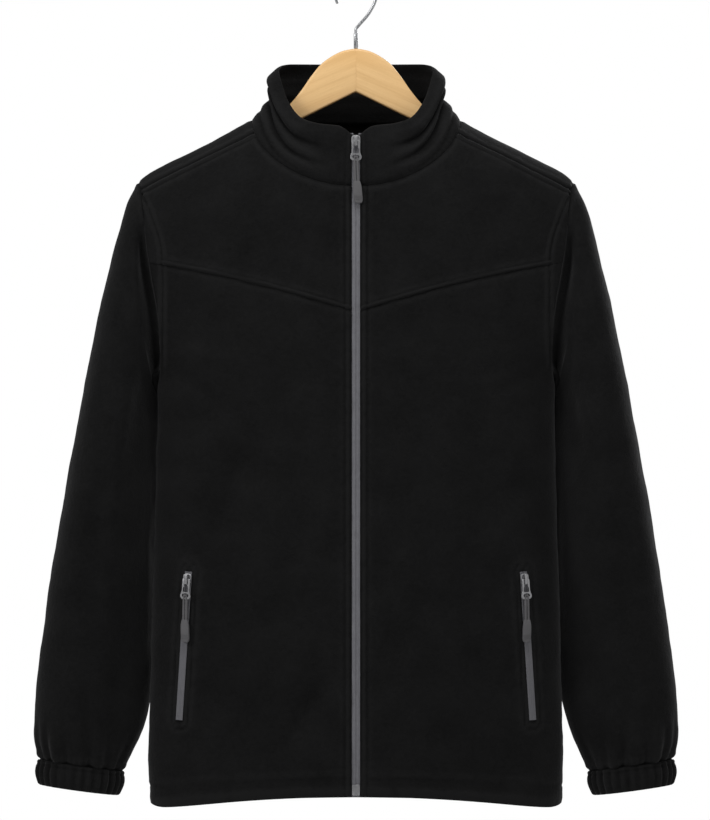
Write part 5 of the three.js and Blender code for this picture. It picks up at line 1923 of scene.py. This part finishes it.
def cord_material(settings):
    """The pulls' cord and soft grips: dark grey, matt, with a fine grain."""
    s = Shader("zip_cord")
    place = s.place()
    grain = s.noise(place, 0.7, 3, 0.6)
    soft = s.noise(place, 9, 2)
    share = (0.5 + (grain - 0.5) * 0.9 + (soft - 0.5) * 0.8).clamp()
    base = tuple(settings.cord_colour)
    s.set(base_color=s.between(share, scaled(base, 0.75), scaled(base, 1.25)), roughness=0.6,
          specular_ior_level=0.4)
    s.set(normal=s.bump(grain, 0.4, 0.15))
    return s.material


def zip_metal_material(settings):
    """Cast and tumbled zip metal, worn brighter where it rubs."""
    s = Shader("zip_metal")
    place = s.place()
    grain = s.noise(place, 0.9, 4, 0.6)
    stain = s.noise(place, 5, 2)
    base = tuple(settings.metal_colour)
    share = (0.5 + (stain - 0.5) * 1.1 + (grain - 0.5) * 0.3).clamp()
    s.set(base_color=s.between(share, scaled(base, 0.8), scaled(base, 1.15)), metallic=1.0)
    s.set(roughness=0.3 + 0.22 * stain + 0.08 * grain, normal=s.bump(grain, 0.25, 0.05))
    return s.material


def wood_material(settings):
    """Varnished pale wood whose grain runs down each arm and meets in the middle."""
    s = Shader("hanger_wood")
    x, y, z = s.parts(s.place())
    slope = math.radians(23)
    down = x.abs() * math.cos(slope) - z * math.sin(slope)
    over = x.abs() * math.sin(slope) + z * math.cos(slope)
    side = (x * 4000.0).clamp() * 0.07
    along = s.joined(down * 0.06, y + side, over)
    bend = s.noise(along, 26, 2)
    rings = (over * 560.0 + y * 240.0 + bend * 17.0 + side * 60.0).sin() * 0.5 + 0.5
    streak = s.noise(s.joined(down * 0.035, y + side, over), 1.6, 4, 0.65)
    pores = s.noise(s.joined(down * 0.12, y + side, over), 0.5, 2, 0.5)
    cloud = s.noise(along, 60, 2)
    base = tuple(settings.wood_colour)
    early = s.between((0.2 + 0.2 * rings ** 2.0 + 0.75 * (streak - 0.4)).clamp(), scaled(base, 1.08),
                      (base[0] * 0.78, base[1] * 0.66, base[2] * 0.52))
    fleck = ((pores - 0.6) * 5.0).clamp() * 0.4
    grain = s.between(fleck, early, (base[0] * 0.56, base[1] * 0.42, base[2] * 0.3))
    warm = ((z * 1000.0 + 104.0) * 0.045).clamp() * 0.55
    toned = s.between(warm, grain, (base[0] * 0.9, base[1] * 0.78, base[2] * 0.58))
    cloudy = s.between(((cloud - 0.4) * 1.2).clamp() * 0.25, toned, scaled(base, 1.15))
    # Painted shade: the colour darkens to brown along the wood's lower edge, where shade falls
    edge = 1.0 - ((z * 1000.0 + x.abs() * 499.0 - WOOD_APEX) * 0.7).clamp()
    colour = s.between(edge * 0.7, cloudy, (base[0] * 0.5, base[1] * 0.3, base[2] * 0.13))
    s.set(base_color=colour, roughness=0.36 + 0.16 * streak, coat_weight=0.35, coat_roughness=0.22,
          specular_ior_level=0.5)
    s.set(normal=s.bump(streak * 0.6 + pores * 0.4, 0.25, 0.12))
    return s.material


def steel_material(settings):
    """Plated wire, drawn along its length, with light smears."""
    s = Shader("hook_steel")
    place = s.place()
    smear = s.noise(place, 7, 3)
    fine = s.noise(place, 0.6, 3, 0.6)
    base = tuple(settings.steel_colour)
    colour = s.between(((smear - 0.35) * 1.6).clamp(), scaled(base, 0.84), scaled(base, 1.12))
    s.set(base_color=colour, metallic=1.0)
    s.set(roughness=0.16 + 0.22 * smear + 0.05 * fine, normal=s.bump(fine, 0.12, 0.04))
    return s.material


def studio_material(name, shade, glow):
    """The pale stage, with a hardly visible mottle."""
    s = Shader(name)
    colour = (shade, shade, shade)
    mottle = s.noise(s.place(), 260, 2)
    s.set(base_color=s.between(mottle, scaled(colour, 0.99), scaled(colour, 1.0)), roughness=0.9,
          specular_ior_level=0.1, emission_color=(1.0, 1.0, 1.0), emission_strength=glow)
    return s.material


MAKERS = {
    "fleece": fleece_material,
    "zip_tape": tape_material,
    "zip_cord": cord_material,
    "zip_metal": zip_metal_material,
    "hanger_wood": wood_material,
    "hook_steel": steel_material,
}


def material(slot):
    """The finish of a slot, made once."""
    found = bpy.data.materials.get(slot)
    if found and found.get("jacket_finish"):
        return found
    made = MAKERS[slot](bpy.context.scene.jacket_settings)
    made["jacket_finish"] = True
    return made


def dress(piece, body, slot, *nodes):
    """Gives a piece its finish, its body and the nodes that it stands for."""
    piece.data.materials.clear()
    piece.data.materials.append(material(slot))
    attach(piece, body)
    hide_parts(*nodes)
    return piece


# Settings, operators and the panel


def colour_property(name, description, default):
    return bpy.props.FloatVectorProperty(
        name=name, description=description, subtype="COLOR", size=3, min=0, max=1, default=default
    )


class JacketSettings(bpy.types.PropertyGroup):
    """Sizes, in millimetres, and colours that a user would change."""

    crease_share: bpy.props.FloatProperty(
        name="Small Creases", description="Share of the small creases that shows", subtype="FACTOR",
        default=1.0, min=0.0, max=2.0,
    )
    collar_crease: bpy.props.FloatProperty(
        name="Collar Creases", description="Share of the collar's creases that shows",
        default=1.0, min=0.0, max=3.0,
    )
    zip_stitch: bpy.props.FloatProperty(
        name="Zip Stitching",
        description="Distance from the zip's edge to its row of stitching in millimetres",
        default=7.2, min=3.0, max=15.0,
    )
    armhole_ridge: bpy.props.FloatProperty(
        name="Armhole Ridges",
        description="Height of the ridges beside the armhole's stitching in millimetres",
        default=1.1, min=0.0, max=3.0,
    )
    cuff_rib: bpy.props.FloatProperty(
        name="Cuff Gathers", description="Height of the cuff's gathers in millimetres",
        default=1.5, min=0.0, max=3.0,
    )
    coil_pitch: bpy.props.FloatProperty(
        name="Coil Pitch", description="Distance between two turns of a zip's coil in millimetres",
        default=1.5, min=0.8, max=4.0,
    )
    wood_round: bpy.props.FloatProperty(
        name="Wood Rounding", description="Radius of the hanger's rounded edges in millimetres",
        default=2.4, min=0.2, max=5.0,
    )
    fleece_colour: colour_property("Fleece", "Colour of the fleece", (0.0066, 0.0066, 0.0067))
    fleece_sheen: bpy.props.FloatProperty(
        name="Fleece Sheen", description="Light caught by the nap", subtype="FACTOR",
        default=0.07, min=0.0, max=1.0,
    )
    tape_colour: colour_property("Zip Tape", "Colour of the zips' tape and coil", (0.135, 0.134, 0.148))
    cord_colour: colour_property("Pull Cord", "Colour of the pulls' cord and grip", (0.088, 0.086, 0.09))
    metal_colour: colour_property("Zip Metal", "Colour of the sliders and tabs", (0.34, 0.34, 0.35))
    wood_colour: colour_property("Wood", "Colour of the hanger's wood", (0.84, 0.56, 0.265))
    steel_colour: colour_property("Hook Steel", "Colour of the hook", (0.55, 0.56, 0.575))


def settings_of(context):
    return context.scene.jacket_settings


def cloth_piece(piece, node):
    dress(piece, ROOT, "fleece", node)


class JACKET_OT_fronts(bpy.types.Operator):
    """Makes the two front panels and the yokes above them"""

    bl_idname = "jacket.fronts"
    bl_label = "Fronts and Yokes"

    def execute(self, context):
        settings = settings_of(context)
        seam = seam_lines()
        for side in (1, -1):
            name = side_name(side)
            front = front_panel(side, seam, settings)
            cloth_piece(front, "front_" + name)
            yoke = front_yoke(side, seam, settings)
            cloth_piece(yoke, "yoke_" + name)
        return {"FINISHED"}


class JACKET_OT_back(bpy.types.Operator):
    """Makes the back panel, which goes over the shoulders"""

    bl_idname = "jacket.back"
    bl_label = "Back"

    def execute(self, context):
        back = back_panel(seam_lines(), settings_of(context))
        cloth_piece(back, "back")
        return {"FINISHED"}


class JACKET_OT_collar(bpy.types.Operator):
    """Makes the standing collar"""

    bl_idname = "jacket.collar"
    bl_label = "Collar"

    def execute(self, context):
        piece = collar(settings_of(context))
        cloth_piece(piece, "collar")
        return {"FINISHED"}


class JACKET_OT_sleeves(bpy.types.Operator):
    """Makes the sleeves and their gathered cuffs"""

    bl_idname = "jacket.sleeves"
    bl_label = "Sleeves and Cuffs"

    def execute(self, context):
        settings = settings_of(context)
        for side in (1, -1):
            name = side_name(side)
            arm = sleeve(side, settings)
            cloth_piece(arm, "sleeve_" + name)
            band = cuff(side, settings)
            cloth_piece(band, "cuff_" + name)
        return {"FINISHED"}


class JACKET_OT_front_zip(bpy.types.Operator):
    """Makes the front zip with its slider, pull and box"""

    bl_idname = "jacket.front_zip"
    bl_label = "Front Zip"

    def execute(self, context):
        settings = settings_of(context)
        for side in (1, -1):
            dress(zip_half(side, settings), ROOT, "zip_tape", "zip_tape_" + side_name(side))
        place = front_zip_place(PULL_ON_ZIP, PULL_ON_ZIP + TIP_BOTTOM)
        dress(put(slider("zip_slider_piece"), place), ROOT, "zip_metal", "zip_slider")
        dress(put(tab("zip_tab_piece"), place), "zip_pull", "zip_metal", "zip_tab")
        hung = lean(puller("zip_puller_piece"), FRONT_LEAN)
        dress(put(hung, place), "zip_pull", "zip_cord", "zip_puller")
        foot = put(zip_box("zip_box_piece"), front_zip_place(BOX_TOP, BOX_BOTTOM))
        dress(foot, ROOT, "zip_metal", "zip_box")
        return {"FINISHED"}


class JACKET_OT_pockets(bpy.types.Operator):
    """Makes the pockets' zips with their sliders and pulls"""

    bl_idname = "jacket.pockets"
    bl_label = "Pocket Zips"

    def execute(self, context):
        settings = settings_of(context)
        makers = {"slider": slider, "tab": tab, "puller": puller}
        parts = {part: make("first_" + part) for part, make in makers.items()}
        for side in (1, -1):
            name = side_name(side)
            dress(pocket_zip(side, settings), ROOT, "zip_tape", "pocket_zip_" + name)
            place = pocket_zip_place(side)
            for part, first in parts.items():
                piece = copy_of(first, f"pocket_{part}_piece_{name}")
                if part == "puller":
                    lean(piece, side * POCKET_LEAN)
                put(piece, place)
                body = ROOT if part == "slider" else "pocket_pull_" + name
                slot = "zip_cord" if part == "puller" else "zip_metal"
                dress(piece, body, slot, f"pocket_{part}_{name}")
        for first in parts.values():
            bpy.data.objects.remove(first)
        return {"FINISHED"}


class JACKET_OT_hanger(bpy.types.Operator):
    """Makes the wooden hanger and its wire hook"""

    bl_idname = "jacket.hanger"
    bl_label = "Hanger"

    def execute(self, context):
        dress(hanger_wood("hanger_wood_piece", settings_of(context)), ROOT, "hanger_wood", "hanger_wood")
        dress(hanger_hook("hanger_hook_piece"), ROOT, "hook_steel", "hanger_hook")
        return {"FINISHED"}


def soft_light(name, place, size, power):
    """A rectangular light that looks at the jacket's middle."""
    light = bpy.data.lights.new(name, "AREA")
    light.shape = "RECTANGLE"
    light.size, light.size_y = size
    light.energy = power
    lamp = bpy.data.objects.new(name, light)
    lamp.location = place
    lamp.rotation_euler = (Vector(LIGHT_TARGET) - Vector(place)).to_track_quat("-Z", "Y").to_euler()
    bpy.context.scene.collection.objects.link(lamp)


def white_studio():
    """A white surround that lights the jacket only softly."""
    world = bpy.data.worlds.new("studio")
    world.use_nodes = True
    nodes, links = world.node_tree.nodes, world.node_tree.links
    background = nodes["Background"]
    background.inputs["Color"].default_value = (1.0, 1.0, 1.0, 1.0)
    seen = nodes.new("ShaderNodeLightPath").outputs["Is Camera Ray"]
    strength = nodes.new("ShaderNodeMapRange")
    strength.inputs["To Min"].default_value = SURROUND_LIGHT
    strength.inputs["To Max"].default_value = 1.0
    links.new(seen, strength.inputs["Value"])
    links.new(strength.outputs["Result"], background.inputs["Strength"])
    return world


class JACKET_OT_stage(bpy.types.Operator):
    """Makes the pale floor, the soft lights and the camera"""

    bl_idname = "jacket.stage"
    bl_label = "Stage"

    def execute(self, context):
        scene = context.scene
        deselect_all()
        bpy.ops.mesh.primitive_plane_add(size=FLOOR_SIZE, location=(0, 0, FLOOR_LEVEL))
        floor = context.object
        floor.name = floor.data.name = "floor"
        bpy.ops.object.transform_apply(location=True, rotation=True, scale=True)
        floor.data.materials.append(studio_material("pale_floor", FLOOR_SHADE, FLOOR_GLOW))
        scene.world = white_studio()
        for name, place, size, power in LIGHTS:
            soft_light(name, place, size, power)
        camera = bpy.data.cameras.new("camera")
        camera.sensor_width = SENSOR
        camera.lens = SENSOR * CAMERA_AWAY / FRAME_HEIGHT
        eye = bpy.data.objects.new("camera", camera)
        eye.location = (CAMERA_X * MM, -CAMERA_AWAY * MM, CAMERA_Z * MM)
        eye.rotation_euler = (math.radians(90), 0, 0)
        scene.collection.objects.link(eye)
        scene.camera = eye
        scene.view_settings.view_transform = "Standard"
        return {"FINISHED"}


class JACKET_PT_panel(bpy.types.Panel):
    """Lists the jacket's pieces"""

    bl_idname = "JACKET_PT_panel"
    bl_label = "Fleece Jacket"
    bl_space_type = "VIEW_3D"
    bl_region_type = "UI"
    bl_category = "Jacket"

    def draw(self, context):
        for step in STEPS:
            self.layout.operator(step.bl_idname)
        for name in JacketSettings.__annotations__:
            self.layout.prop(settings_of(context), name)


STEPS = (
    JACKET_OT_stage,
    JACKET_OT_fronts,
    JACKET_OT_back,
    JACKET_OT_collar,
    JACKET_OT_sleeves,
    JACKET_OT_front_zip,
    JACKET_OT_pockets,
    JACKET_OT_hanger,
)
CLASSES = (JacketSettings, *STEPS, JACKET_PT_panel)


def register():
    for made in CLASSES:
        bpy.utils.register_class(made)
    bpy.types.Scene.jacket_settings = bpy.props.PointerProperty(type=JacketSettings)


def unregister():
    del bpy.types.Scene.jacket_settings
    for made in reversed(CLASSES):
        bpy.utils.unregister_class(made)


def main():
    register()
    bpy.ops.jacket.stage()
    bpy.ops.jacket.fronts()
    bpy.ops.jacket.back()
    bpy.ops.jacket.collar()
    bpy.ops.jacket.sleeves()
    bpy.ops.jacket.front_zip()
    bpy.ops.jacket.pockets()
    bpy.ops.jacket.hanger()


if __name__ == "__main__":
    main()
